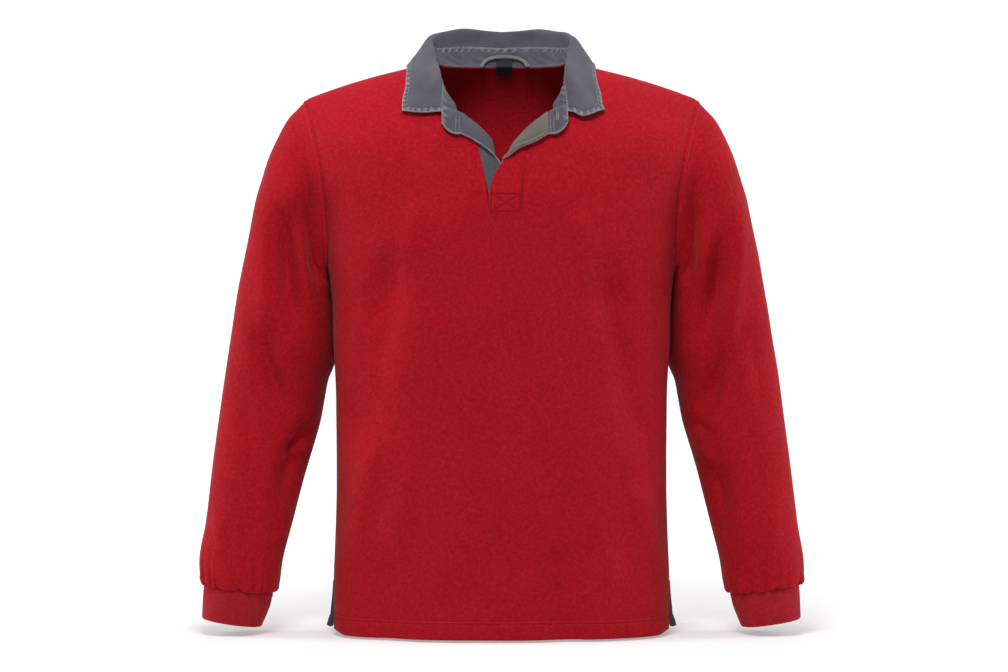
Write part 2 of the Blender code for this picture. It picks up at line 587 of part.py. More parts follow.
def neck_side(side):
    """One side's neck columns at every step from the middle of the back to the stand's front end."""
    last = len(NECK_SECTIONS) + len(TURNED_SECTIONS) - 1
    count = last * COLLAR_STEPS_PER_SECTION
    at = np.linspace(0.0, last, count + 1)
    columns = neck_columns(side)
    whole = through(columns, at)
    slit_step = SLIT_TOP_SECTION * COLLAR_STEPS_PER_SECTION
    turned = straight(columns[SLIT_TOP_SECTION:], at[slit_step:] - SLIT_TOP_SECTION)
    whole[slit_step:, 0] = turned[:, 0]
    places = foot_places(side, 0, SLIT_TOP_SECTION)
    neck_side_step = 3 * COLLAR_STEPS_PER_SECTION
    whole[:neck_side_step, 0] = trunk_point(*places[:neck_side_step].T, 1)
    whole[neck_side_step:len(places), 0] = trunk_point(*places[neck_side_step:].T, -1)
    whole[neck_side_step, 0, 1] = 0.0
    return whole


def collar():
    """The stand's and the fall's middle surfaces as one, and how many rows at each end have no fall."""
    left, right = neck_side(-1), neck_side(1)
    whole = np.concatenate([left[::-1], right[1:]])
    stand = quadratic(whole[:, 0], whole[:, 1], whole[:, 2], 5)
    last = len(NECK_SECTIONS) + len(TURNED_SECTIONS) - 1
    trim = (last - FALL_END_SECTION) * COLLAR_STEPS_PER_SECTION
    return stand, fall_path(*whole[trim:-trim, 2:].transpose(1, 0, 2)), trim


def fall_path(top, roll, middle, edge):
    """Points of the fall from the stand's top over the roll to the free edge, along a new second axis."""
    rise = np.linalg.norm(roll - top, axis=-1, keepdims=True)
    drop = np.linalg.norm(middle - roll, axis=-1, keepdims=True)
    over = (middle - top) / np.linalg.norm(middle - top, axis=-1, keepdims=True)
    before = over * np.minimum(np.sqrt(6 * ROLL_RADIUS * rise), 1.1 * rise)
    after = over * np.minimum(np.sqrt(6 * ROLL_RADIUS * drop), 1.1 * drop)
    level = (edge - roll) / np.linalg.norm(edge - roll, axis=-1, keepdims=True)
    end = np.linalg.norm(edge - middle, axis=-1, keepdims=True)
    columns = [hermite(top, roll, roll - top, before, part) for part in (0.0, 0.5, 0.85)]
    columns += [hermite(roll, middle, after, level * drop, part) for part in (0.0, 0.14, 0.5)]
    columns += [hermite(middle, edge, level * end, edge - middle, part) for part in (0.0, 0.5, 1.0)]
    return np.stack(columns, axis=1)


def quadratic(start, middle, end, count):
    """Points from start through middle to end, along a new second axis."""
    part = np.linspace(0.0, 1.0, count)[None, :, None]
    start, middle, end = start[:, None], middle[:, None], end[:, None]
    return (
        start * (1 - part) * (1 - 2 * part)
        + middle * 4 * part * (1 - part)
        + end * part * (2 * part - 1)
    )


def placket(table):
    """Middle surface of a placket, rows from the box up, points across from its seam to its free edge."""
    last = len(table) - 1
    rows = straight(np.array(table), np.linspace(0, last, last * PLACKET_STEPS_PER_ROW + 1))
    columns = []
    for share, bump in PLACKET_TO_ROLL:
        columns.append(placket_column(rows, (0, 1, 6), (2, 3, 7), share, bump))
    for share, bump in PLACKET_TO_EDGE:
        columns.append(placket_column(rows, (2, 3, 7), (4, 5, 8), share, bump))
    return np.stack(columns, axis=1)


def placket_column(rows, start, end, share, bump):
    """One line of a placket, a share of the way between two of its table's places."""
    x, z, height = (rows[:, a] * (1 - share) + rows[:, b] * share for a, b in zip(start, end))
    return trunk_point(x, z, -1, height + bump * rows[:, 9])


def pull_back(grid, normal, edges, distance):
    """Moves the named edges of a grid in towards its middle, along the surface."""
    grid = grid.copy()
    for edge in edges:
        upright = edge in ("left", "right")
        ways = grid.transpose(1, 0, 2) if upright else grid
        directions = normal.transpose(1, 0, 2) if upright else normal
        line, nextline = (0, 1) if edge in ("left", "top") else (-1, -2)
        along = np.gradient(ways[line], axis=0)
        inward = np.cross(directions[line], along)
        inward /= np.linalg.norm(inward, axis=-1, keepdims=True)
        toward = np.sum(inward * (ways[nextline] - ways[line]), axis=-1, keepdims=True)
        ways[line] += inward * np.sign(toward) * distance
    return grid


def share_normals(groups):
    """Gives points that several pieces hold in common one direction, so that their rims lie side by side.

    Pieces of one group count as one cloth. The last group is the stand, which turns over at its front ends,
    so its directions may be the other way round there.
    """
    held = {}
    last = len(groups) - 1
    for number, pieces in enumerate(groups):
        for grid, normal in pieces:
            keys = np.round(grid.reshape(-1, 3) * 2e4).astype(int)
            flat = normal.reshape(-1, 3)
            for index, key in enumerate(map(tuple, keys)):
                held.setdefault(key, []).append((number, flat, index))
    for places in held.values():
        if len(places) < 2:
            continue
        total = np.zeros(3)
        for number in sorted({place[0] for place in places}):
            way = sum(flat[index] for group, flat, index in places if group == number)
            way = way / np.linalg.norm(way)
            total += way if number < last else way * np.sign(np.dot(way, total) + 1e-12)
        total /= np.linalg.norm(total)
        for number, flat, index in places:
            flat[index] = total if number < last else total * np.sign(np.dot(flat[index], total) + 1e-12)


def cloth_material(slot):
    """The slot's material, made once."""
    material = bpy.data.materials.get(slot)
    if material is None:
        red, green, blue, roughness = CLOTH[slot]
        material = bpy.data.materials.new(slot)
        material.use_nodes = True
        shader = material.node_tree.nodes["Principled BSDF"]
        shader.inputs["Base Color"].default_value = (red, green, blue, 1.0)
        shader.inputs["Roughness"].default_value = roughness
        shader.inputs["Metallic"].default_value = 0.0
    return material


def wall(name, grid, normal, thick, slot, closed=False):
    """A closed solid: the grid moved out and in by half the wall, joined by rims along its open edges."""
    rows, columns = grid.shape[:2]
    half = np.broadcast_to(np.asarray(thick) / 2, (rows, columns))[..., None]
    points = np.concatenate([(grid + normal * half).reshape(-1, 3), (grid - normal * half).reshape(-1, 3)])
    inside = rows * columns
    faces = []
    for row in range(rows - 1):
        for column in range(columns if closed else columns - 1):
            beside = (column + 1) % columns
            a, b = row * columns + column, row * columns + beside
            c, d = a + columns, b + columns
            faces.append((a, b, d, c))
            faces.append((inside + a, inside + c, inside + d, inside + b))
    for row, turned in ((0, False), (rows - 1, True)):
        for column in range(columns if closed else columns - 1):
            a, b = row * columns + column, row * columns + (column + 1) % columns
            faces.append((a, b, inside + b, inside + a) if turned else (a, inside + a, inside + b, b))
    if not closed:
        for column, turned in ((0, True), (columns - 1, False)):
            for row in range(rows - 1):
                a, b = row * columns + column, (row + 1) * columns + column
                faces.append((a, b, inside + b, inside + a) if turned else (a, inside + a, inside + b, b))
    return solid(name, points, faces, slot)


def solid(name, points, faces, slot):
    """An object from points and faces, its faces turned to point out."""
    volume = 0.0
    for face in faces:
        corners = points[list(face)]
        for second, third in zip(corners[1:-1], corners[2:]):
            volume += np.dot(corners[0], np.cross(second, third))
    if volume < 0:
        faces = [(face[0], *face[:0:-1]) for face in faces]
    mesh = bpy.data.meshes.new(name)
    mesh.from_pydata(points.tolist(), [], [tuple(int(i) for i in face) for face in faces])
    mesh.validate()
    mesh.shade_smooth()
    mesh.set_sharp_from_angle(angle=0.9)
    made = bpy.data.objects.new(name, mesh)
    made.data.materials.append(cloth_material(slot))
    bpy.context.scene.collection.objects.link(made)
    return made


def make_garment():
    """The panels, sleeves, cuffs and collar, which share their seams, and the tapes that lie on the back."""
    front, front_ways = panel(-1, front_top(), FRONT_COLUMNS)
    back, back_ways = panel(1, back_top(), BACK_COLUMNS)
    sleeves = {side: sleeve(side) for side in (-1, 1)}
    cuffs = {side: cuff(side) for side in (-1, 1)}
    stand, stand_ways, fall, fall_ways = collar_with_ways()
    panels = [(front, front_ways), (back, back_ways)]
    share_normals([panels, [*sleeves.values()], [*cuffs.values()], [(stand, stand_ways)]])
    for name, grid, ways in (("front_panel", front, front_ways), ("back_panel", back, back_ways)):
        thick = FLEECE + (HEM_FLEECE - FLEECE) * (grid[..., 2] < HEM_FOLD_Z + 0.001)
        grid = pull_back(grid, ways, ("top", "left", "right"), SEAM_GAP / 2)
        wall(name, grid, ways, thick, "red_fleece")
    for side, hand in ((-1, "left"), (1, "right")):
        grid, ways = sleeves[side]
        wall(f"sleeve_{hand}", close_pull(grid, ways, ("top", "bottom")), ways, FLEECE, "red_fleece", True)
        grid, ways = cuffs[side]
        wall(f"cuff_{hand}", close_pull(grid, ways, ("top",)), ways, FLEECE, "red_fleece", True)
    stand = pull_back(stand, stand_ways, ("left",), 1.5 * SEAM_GAP)
    stand = pull_back(stand, stand_ways, ("right",), SEAM_GAP)
    fall = pull_back(fall, fall_ways, ("left",), SEAM_GAP)
    wall("collar_stand", stand, stand_ways, CANVAS, "grey_canvas")
    wall("collar_fall", fall, fall_ways, CANVAS, "grey_canvas")
    make_tapes(back, back_ways)


def collar_with_ways():
    """Stand and fall with their directions, which are one along the stand's top."""
    stand, fall, trim = collar()
    whole = np.concatenate([stand[trim:-trim], fall[:, 1:]], axis=1)
    whole_ways = grid_normals(whole, False)
    stand_ways = grid_normals(stand, False)
    stand_ways *= np.sign(stand_ways[len(stand) // 2, 2, 1])
    whole_ways *= np.sign(whole_ways[len(whole) // 2, 2, 1])
    joint = stand.shape[1]
    for row in (0, -1):
        end = stand_ways[trim if row == 0 else -trim - 1, -1]
        shared = whole_ways[row, joint - 1] + end * np.sign(np.dot(end, whole_ways[row, joint - 1]))
        end[:] = shared / np.linalg.norm(shared) * np.sign(np.dot(end, shared))
        whole_ways[row, joint - 1] = shared / np.linalg.norm(shared)
    stand_ways[trim + 1:-trim - 1] = whole_ways[1:-1, :joint]
    return stand, stand_ways, fall, whole_ways[:, joint - 1:].copy()


def close_pull(grid, normal, edges):
    """pull_back for rings: the first column is repeated so that the ring's ends agree, then dropped."""
    wrap = np.concatenate([grid[:, -1:], grid, grid[:, :1]], axis=1)
    ways = np.concatenate([normal[:, -1:], normal, normal[:, :1]], axis=1)
    return pull_back(wrap, ways, edges, SEAM_GAP / 2)[:, 1:-1]


def make_tapes(back, back_ways):
    """Tape inside the back panel along each vent edge."""
    first = ARMHOLE_STEPS + 1 + LOWER_ROWS.index(VENT_TOP_Z)
    depth = (HEM_FLEECE + TAPE_CLOTH) / 2 + SEAM_GAP
    for edge, beside, hand in ((0, 1, "left"), (-1, -2, "right")):
        at = np.linspace(0.1, len(back) - first - 1.15, TAPE_STEPS + 1)
        points = straight(back[first:, [edge, beside]], at)
        ways = straight(back_ways[first:, [edge, beside]], at)
        width = np.linalg.norm(points[:, 1] - points[:, 0], axis=-1)[:, None, None]
        part = 0.0008 / width + TAPE_WIDTH / width * np.linspace(0.0, 1.0, 3)[None, :, None]
        grid = points[:, :1] * (1 - part) + points[:, 1:] * part
        square = ways[:, :1] * (1 - part) + ways[:, 1:] * part
        square /= np.linalg.norm(square, axis=-1, keepdims=True)
        wall(f"vent_tape_{hand}", grid - square * depth, square, TAPE_CLOTH, "tape")


def make_plackets():
    """Under and upper plackets and the upper one's facing."""
    under = placket(UNDER_PLACKET)
    ways = grid_normals(under, False)
    ways *= -np.sign(ways[0, 0, 1])
    grid = pull_back(pull_back(under, ways, ("left",), 0.0005), ways, ("bottom",), 0.0012)
    wall("placket_under", grid, ways, PLACKET_CLOTH, "grey_canvas")
    upper = placket(UPPER_PLACKET)
    ways = grid_normals(upper, False)
    ways *= -np.sign(ways[0, 0, 1])
    grid = pull_back(pull_back(upper, ways, ("left",), 0.0005), ways, ("bottom",), 0.0012)
    wall("placket_upper", grid, ways, PLACKET_CLOTH, "red_fleece")
    depth = (PLACKET_CLOTH + FACING_CLOTH) / 2 + 1.7 * SEAM_GAP
    inner = pull_back((grid - ways * depth)[:, 1:], ways[:, 1:], ("right", "bottom", "top"), 0.0006)
    wall("placket_facing", inner, ways[:, 1:], FACING_CLOTH, "facing")


def stand_inner_y(x, z):
    """Depth of the stand's or the back panel's inner side at x, z of the back of the neck."""
    foot_z, top_z = 0.009, 0.035
    foot_y = trunk_point(x, np.minimum(z, foot_z), 1)[..., 1]
    out = np.abs(x)
    top_y = 0.0842 - 0.0087 * (out / 0.048) ** 2
    share = np.clip((z - foot_z) / (top_z - foot_z), 0.0, 1.0)
    return foot_y * (1 - share) + top_y * share


def make_neck_trim():
    """Label, hanger loop and button."""
    middle_x, half, top, bottom = LABEL
    across = np.linspace(middle_x - half, middle_x + half, 5)
    z, x = np.meshgrid(np.linspace(top, bottom, 8), across, indexing="ij")
    y = stand_inner_y(x, z) - 0.0040
    grid = np.stack([x, y, z], axis=-1)
    ways = grid_normals(grid, False)
    wall("neck_label", grid, ways * np.sign(ways[0, 0, 1]), LABEL_CLOTH, "label")
    path = through(np.array(HANGER_PATH), np.linspace(0, len(HANGER_PATH) - 1, 19))
    along = np.gradient(path, axis=0)
    along /= np.linalg.norm(along, axis=-1, keepdims=True)
    square = np.stack([-along[:, 1], along[:, 0]], axis=-1)
    places = path[:, None] + square[:, None] * np.linspace(-1, 1, 3)[None, :, None] * HANGER_HALF_WIDTH
    beyond_label = ease((np.abs(places[..., 0] - middle_x) - half - 0.0020) / 0.0090)
    y = stand_inner_y(places[..., 0], places[..., 1]) - (HANGER_DEPTH - 0.0018 * beyond_label)
    grid = np.stack([places[..., 0], y, places[..., 1]], axis=-1)
    ways = grid_normals(grid, False)
    wall("hanger_loop", grid, ways * np.sign(ways[0, 0, 1]), HANGER_CLOTH, "tape")
    make_button()


def make_button():
    """A flat round button under the turned stand end."""
    x, z = BUTTON_PLACE
    turn = np.linspace(0.0, 2 * np.pi, 16, endpoint=False)
    normal = trunk_normal(x, z, -1)
    centre = trunk_point(x, z, -1) + normal * (FLEECE / 2 + SEAM_GAP + BUTTON_THICK / 2)
    sideways = np.cross(normal, (0.0, 0.0, 1.0))
    sideways /= np.linalg.norm(sideways)
    upward = np.cross(sideways, normal)
    ring = BUTTON_RADIUS * (np.cos(turn)[:, None] * sideways + np.sin(turn)[:, None] * upward)
    points = np.concatenate([centre + ring + normal * BUTTON_THICK / 2, centre + ring - normal * BUTTON_THICK / 2])
    count = len(turn)
    faces = [tuple(range(count)), tuple(range(2 * count - 1, count - 1, -1))]
    for index in range(count):
        beside = (index + 1) % count
        faces.append((index, count + index, count + beside, beside))
    solid("neck_button", points, faces, "button")


def main():
    for old in list(bpy.data.objects):
        bpy.data.objects.remove(old)
    make_garment()
    make_plackets()
    make_neck_trim()


main()
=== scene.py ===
"""Looks of a collared henley sweatshirt in brushed red fleece, with a washed canvas collar.

Every piece of cloth is a closed thin shell on the same surface functions as its solid, cut more finely, with
its creases, seams and stitches.
"""

import bpy
import numpy as np
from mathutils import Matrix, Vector


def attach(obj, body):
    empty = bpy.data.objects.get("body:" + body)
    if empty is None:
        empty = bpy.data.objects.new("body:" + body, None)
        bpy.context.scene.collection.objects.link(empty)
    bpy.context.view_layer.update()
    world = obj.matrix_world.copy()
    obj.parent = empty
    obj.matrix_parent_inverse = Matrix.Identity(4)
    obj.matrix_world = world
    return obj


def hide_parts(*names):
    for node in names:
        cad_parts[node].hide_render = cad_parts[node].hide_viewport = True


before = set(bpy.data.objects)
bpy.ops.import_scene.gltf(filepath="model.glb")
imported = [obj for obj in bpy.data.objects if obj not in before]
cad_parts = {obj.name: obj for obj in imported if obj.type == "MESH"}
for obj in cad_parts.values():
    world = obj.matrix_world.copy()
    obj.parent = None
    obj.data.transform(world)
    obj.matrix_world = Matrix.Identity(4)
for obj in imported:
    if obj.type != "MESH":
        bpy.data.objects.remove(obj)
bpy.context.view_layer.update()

# Driving sizes
FLEECE = 0.0023
HEM_FLEECE = 0.0030
CANVAS = 0.0016
PLACKET_CLOTH = 0.0014
FACING_CLOTH = 0.0010
SEAM_GAP = 0.0003
SHOULDER_TIP_X = 0.2498
NECK_SIDE_X = 0.0875
ARMPIT_Z = -0.255
VENT_TOP_Z = -0.655
HEM_FOLD_Z = -0.7045
HEM_Z = -0.7225
SLIT_END_Z = -0.1935
BODY_SQUARENESS = 2.5
SLEEVE_SQUARENESS = 2.15
SHOULDER_ROUND = 0.120
BUTTON_RADIUS = 0.0055
BUTTON_THICK = 0.0021

# Steps of a panel's top edge, the same as the solids'
SHOULDER_STEPS = 6
COLLAR_STEPS_PER_SECTION = 2

# Trunk seen from the front and from the side: height, half width of the front and of the back panel,
# depth of the front and of the back from the side seams' plane.
TRUNK = (
    (-0.7225, 0.2160, 0.2292, 0.1150, 0.1120),
    (-0.7000, 0.2157, 0.2210, 0.1155, 0.1110),
    (-0.6550, 0.2153, 0.2153, 0.1165, 0.1095),
    (-0.6070, 0.2135, 0.2135, 0.1170, 0.1080),
    (-0.5300, 0.2115, 0.2115, 0.1180, 0.1060),
    (-0.4270, 0.2122, 0.2122, 0.1210, 0.1075),
    (-0.3500, 0.2158, 0.2158, 0.1245, 0.1120),
    (-0.3000, 0.2175, 0.2175, 0.1265, 0.1155),
    (-0.2550, 0.2227, 0.2227, 0.1265, 0.1190),
    (-0.2000, 0.2300, 0.2300, 0.1245, 0.1225),
    (-0.1500, 0.2470, 0.2470, 0.1185, 0.1245),
    (-0.1000, 0.2640, 0.2640, 0.1090, 0.1245),
    (-0.0500, 0.2720, 0.2720, 0.0960, 0.1210),
    (0.0000, 0.2780, 0.2780, 0.0840, 0.1170),
    (0.0600, 0.2800, 0.2800, 0.0750, 0.1120),
)

# Armhole seam seen from the front: height, distance from the middle. It ends at the armpit.
ARMHOLE = (
    (-0.2550, 0.22155),
    (-0.2450, 0.2207),
    (-0.2090, 0.2202),
    (-0.1650, 0.2232),
    (-0.1390, 0.2262),
    (-0.0900, 0.2360),
    (-0.0600, 0.2442),
    (-0.0418, 0.2498),
)

# How far each panel's edge stands back from the side seam's line down the vent: height, front, back.
VENT = (
    (-0.7225, 0.0030, 0.0026),
    (-0.6900, 0.0010, 0.0009),
    (-0.6700, 0.0003, 0.0003),
    (-0.6550, 0.0000, 0.0000),
)

# Columns of the panels from the middle to the side, as shares of the half width at the hem.
FRONT_COLUMNS = (
    0.100, 0.190, 0.245, 0.290, 0.330, 0.370, 0.405, 0.440, 0.475, 0.510, 0.545, 0.580, 0.615, 0.660,
    0.730, 0.810, 0.880, 0.935, 0.980, 1.000,
)
BACK_COLUMNS = (0.000, 0.120, 0.235, 0.330, 0.420, 0.500, 0.580, 0.700, 0.800, 0.880, 0.940, 0.982, 1.000)

# Sleeve outline seen from the front: height, distance of the outer edge from the middle.
SLEEVE_OUTER = (
    (-0.6610, 0.3795),
    (-0.6520, 0.3850),
    (-0.6330, 0.3866),
    (-0.5810, 0.3792),
    (-0.5300, 0.3740),
    (-0.4780, 0.3680),
    (-0.4270, 0.3617),
    (-0.3760, 0.3543),
    (-0.3240, 0.3452),
    (-0.2730, 0.3358),
    (-0.2210, 0.3256),
    (-0.1700, 0.3148),
    (-0.1440, 0.3068),
    (-0.1180, 0.2986),
    (-0.0930, 0.2878),
    (-0.0670, 0.2737),
    (-0.0540, 0.2619),
    (-0.0420, 0.2510),
)
SLEEVE_INNER = (
    (-0.6725, 0.2930),
    (-0.6670, 0.2878),
    (-0.6600, 0.2850),
    (-0.6330, 0.2810),
    (-0.5810, 0.2678),
    (-0.5300, 0.2558),
    (-0.4780, 0.2416),
    (-0.4530, 0.2352),
    (-0.4270, 0.2304),
    (-0.4010, 0.2252),
    (-0.3850, 0.2185),
    (-0.3700, 0.2145),
    (-0.3520, 0.2128),
    (-0.3250, 0.2142),
    (-0.2980, 0.2190),
    (-0.2780, 0.2236),
    (-0.2650, 0.2238),
    (-0.2550, 0.2206),
)

# Sleeve rings: place along the sleeve, height at the outer and at the inner edge, middle of the ring from
# front to back, half depth, and how far back the inner edge stands from that middle.
SLEEVE = (
    (0.000, -0.0420, -0.2550, 0.0000, 0.0600, 0.0000),
    (0.087, -0.0760, -0.2750, 0.0030, 0.0655, 0.0050),
    (0.174, -0.1260, -0.2980, 0.0090, 0.0695, 0.0160),
    (0.348, -0.2380, -0.3570, 0.0205, 0.0705, 0.0220),
    (0.522, -0.3550, -0.4380, 0.0245, 0.0650, 0.0100),
    (0.696, -0.4780, -0.5320, 0.0135, 0.0590, 0.0000),
    (0.870, -0.6060, -0.6320, -0.0075, 0.0525, 0.0000),
    (0.957, -0.6500, -0.6640, -0.0135, 0.0480, 0.0000),
    (1.000, -0.6610, -0.6725, -0.0145, 0.0412, 0.0000),
)
CAP_BLEND = 0.15

# Cuff rings: place down the cuff, outer edge x and z, inner edge x and z, middle and half depth.
CUFF = (
    (0.00, 0.3795, -0.6610, 0.2930, -0.6725, -0.0145, 0.0412),
    (0.30, 0.3812, -0.6740, 0.2952, -0.6855, -0.0148, 0.0412),
    (1.00, 0.3826, -0.7045, 0.3072, -0.7155, -0.0155, 0.0372),
)

# Soft folds: wearer's side of the drawing (-1 viewer's left, 1 right, 0 both), face (-1 front, 1 back),
# three places (x, z) down the fold, half width, height (a trough is below zero).
SLEEVE_FOLDS = (
    (-1, -1, 0.276, -0.177, 0.274, -0.240, 0.256, -0.345, 0.0150, -0.0085),
    (-1, -1, 0.250, -0.090, 0.238, -0.200, 0.232, -0.300, 0.0150, -0.0080),
    (-1, -1, 0.252, -0.205, 0.254, -0.270, 0.246, -0.335, 0.0120, 0.0040),
    (-1, -1, 0.309, -0.335, 0.293, -0.396, 0.270, -0.447, 0.0140, -0.0060),
    (-1, -1, 0.244, -0.455, 0.262, -0.508, 0.281, -0.555, 0.0170, -0.0060),
    (1, -1, 0.281, -0.215, 0.273, -0.287, 0.248, -0.355, 0.0150, -0.0085),
    (1, -1, 0.244, -0.110, 0.234, -0.200, 0.230, -0.300, 0.0150, -0.0080),
    (1, -1, 0.301, -0.170, 0.296, -0.270, 0.280, -0.425, 0.0110, 0.0045),
    (1, -1, 0.284, -0.362, 0.266, -0.412, 0.250, -0.455, 0.0140, -0.0055),
    (1, -1, 0.264, -0.505, 0.272, -0.545, 0.282, -0.585, 0.0180, -0.0050),
    (0, 1, 0.278, -0.160, 0.268, -0.235, 0.250, -0.330, 0.0150, -0.0070),
    (0, 1, 0.330, -0.350, 0.300, -0.400, 0.262, -0.430, 0.0160, -0.0060),
    (0, 1, 0.345, -0.450, 0.310, -0.480, 0.270, -0.490, 0.0150, -0.0050),
)
TRUNK_FOLDS = (
    (-1, -1, 0.128, -0.225, 0.152, -0.340, 0.192, -0.500, 0.0240, -0.0060),
    (-1, -1, 0.158, -0.470, 0.182, -0.555, 0.200, -0.640, 0.0180, 0.0040),
    (1, -1, 0.120, -0.225, 0.157, -0.380, 0.195, -0.520, 0.0240, -0.0060),
    (1, -1, 0.168, -0.520, 0.190, -0.593, 0.203, -0.655, 0.0160, 0.0040),
    (-1, -1, 0.150, -0.610, 0.148, -0.670, 0.140, -0.760, 0.0280, -0.0035),
    (1, -1, 0.070, -0.600, 0.078, -0.660, 0.085, -0.760, 0.0300, -0.0035),
    (0, 1, 0.165, -0.150, 0.150, -0.330, 0.135, -0.520, 0.0280, -0.0060),
    (0, 1, 0.050, -0.420, 0.062, -0.560, 0.070, -0.760, 0.0320, -0.0045),
)

# Neck sections from the middle of the back to the stand's front end. Foot of the stand (x, z on the body),
# then x, y, z of the stand's middle, the stand's top, the roll, the fall's middle and the fall's edge.
NECK_SECTIONS = (
    (0.0000, 0.0090, 0.0000, 0.0812, 0.0220, 0.0000, 0.0842, 0.0350,
     0.0000, 0.0895, 0.0575, 0.0000, 0.0985, 0.0280, 0.0000, 0.1010, -0.0040),
    (0.0450, 0.0075, 0.0465, 0.0725, 0.0212, 0.0480, 0.0755, 0.0345,
     0.0500, 0.0800, 0.0560, 0.0545, 0.0895, 0.0275, 0.0575, 0.0925, -0.0035),
    (0.0765, 0.0062, 0.0790, 0.0415, 0.0185, 0.0815, 0.0440, 0.0300,
     0.0840, 0.0470, 0.0500, 0.0930, 0.0550, 0.0260, 0.0995, 0.0590, 0.0000),
    (0.0875, 0.0081, 0.0882, 0.0012, 0.0170, 0.0886, 0.0020, 0.0265,
     0.0915, 0.0020, 0.0425, 0.1075, 0.0010, 0.0235, 0.1188, 0.0000, 0.0020),
    (0.0868, -0.0060, 0.0862, -0.0388, 0.0000, 0.0850, -0.0380, 0.0035,
     0.0862, -0.0355, 0.0130, 0.1050, -0.0370, 0.0035, 0.1200, -0.0385, -0.0100),
    (0.0795, -0.0260, 0.0797, -0.0655, -0.0190, 0.0786, -0.0655, -0.0130,
     0.0808, -0.0645, -0.0045, 0.1010, -0.0635, -0.0180, 0.1220, -0.0620, -0.0315),
    (0.0690, -0.0460, 0.0712, -0.0840, -0.0370, 0.0742, -0.0815, -0.0290,
     0.0778, -0.0815, -0.0215, 0.0990, -0.0780, -0.0360, 0.1235, -0.0745, -0.0455),
)
# The same places further forward, as x, z and height over the front panel.
TURNED_SECTIONS = (
    (0.0575, -0.0690, 0.0000, 0.0600, -0.0530, 0.0050, 0.0740, -0.0460, 0.0074,
     0.0785, -0.0440, 0.0084, 0.1000, -0.0520, 0.0078, 0.1242, -0.0590, 0.0062),
    (0.0492, -0.0663, 0.0044, 0.0620, -0.0665, 0.0064, 0.0742, -0.0655, 0.0070,
     0.0785, -0.0650, 0.0074, 0.1000, -0.0655, 0.0070, 0.1244, -0.0635, 0.0058),
    (0.0504, -0.0937, 0.0052, 0.0640, -0.0915, 0.0062, 0.0745, -0.0795, 0.0066,
     0.0745, -0.0795, 0.0066, 0.0745, -0.0795, 0.0066, 0.0745, -0.0795, 0.0066),
)
# The viewer's right front lies further open: section, shift of the stand and roll, shift of the fall's edge.
RIGHT_SPREAD = (
    (0.0, 0.0000, 0.0000),
    (4.0, 0.0000, 0.0000),
    (5.0, 0.0020, 0.0010),
    (6.0, 0.0050, 0.0025),
    (7.0, 0.0075, 0.0040),
    (8.0, 0.0085, 0.0045),
    (9.0, 0.0085, 0.0045),
)
FOOT_ROWS = [row[:2] for row in NECK_SECTIONS + TURNED_SECTIONS]
LAST_SECTION = len(FOOT_ROWS) - 1
SLIT_TOP_SECTION = 7
FALL_END_SECTION = 8
ROLL_RADIUS = 0.0022

# Placket rows from the box up: seam with the panel, roll and free edge as x, z, their heights over the panel,
# and how far the row is turned outwards (0 flat, 1 turned).
UNDER_PLACKET = (
    (-0.0155, -0.1930, 0.0040, -0.1930, 0.0235, -0.1930, -0.0030, -0.0030, -0.0030, 0.0),
    (-0.0155, -0.1680, 0.0035, -0.1680, 0.0220, -0.1680, -0.0030, -0.0030, -0.0030, 0.0),
    (-0.0205, -0.1460, -0.0040, -0.1465, 0.0100, -0.1470, -0.0022, -0.0030, -0.0032, 0.0),
    (-0.0250, -0.1260, -0.0090, -0.1255, -0.0020, -0.1270, 0.0000, -0.0004, 0.0004, 0.0),
    (-0.0275, -0.1155, -0.0095, -0.1135, -0.0112, -0.1190, 0.0000, 0.0010, 0.0040, 0.8),
    (-0.0300, -0.1050, -0.0110, -0.1020, -0.0203, -0.1110, 0.0000, 0.0028, 0.0050, 1.0),
    (-0.0435, -0.0870, -0.0273, -0.0838, -0.0385, -0.0993, 0.0000, 0.0030, 0.0050, 1.0),
    (-0.0575, -0.0690, -0.0492, -0.0663, -0.0504, -0.0937, 0.0000, 0.0030, 0.0050, 1.0),
)
UPPER_PLACKET = (
    (0.0252, -0.1932, 0.0050, -0.1932, -0.0152, -0.1932, 0.0012, 0.0012, 0.0012, 0.0),
    (0.0252, -0.1680, 0.0050, -0.1670, -0.0155, -0.1650, 0.0012, 0.0012, 0.0012, 0.0),
    (0.0280, -0.1450, 0.0090, -0.1445, -0.0088, -0.1440, 0.0012, 0.0014, 0.0016, 0.0),
    (0.0310, -0.1220, 0.0085, -0.1205, 0.0022, -0.1268, 0.0008, 0.0022, 0.0036, 0.3),
    (0.0330, -0.1140, 0.0125, -0.1120, 0.0140, -0.1185, 0.0006, 0.0026, 0.0054, 1.0),
    (0.0350, -0.1060, 0.0170, -0.1045, 0.0215, -0.1120, 0.0004, 0.0030, 0.0046, 1.0),
    (0.0480, -0.0890, 0.0340, -0.0850, 0.0440, -0.1035, 0.0002, 0.0030, 0.0048, 1.0),
    (0.0650, -0.0690, 0.0577, -0.0663, 0.0589, -0.0937, 0.0000, 0.0030, 0.0050, 1.0),
)
# Places across a placket row: share of the way from seam to roll, then from roll to edge, and the height
# that a turned row has there over the straight line between its heights.
PLACKET_TO_ROLL = ((0.00, 0.0), (0.45, -0.0007), (0.85, -0.0014), (1.00, 0.0))
PLACKET_TO_EDGE = ((0.30, 0.0016), (0.65, 0.0012), (1.00, 0.0))

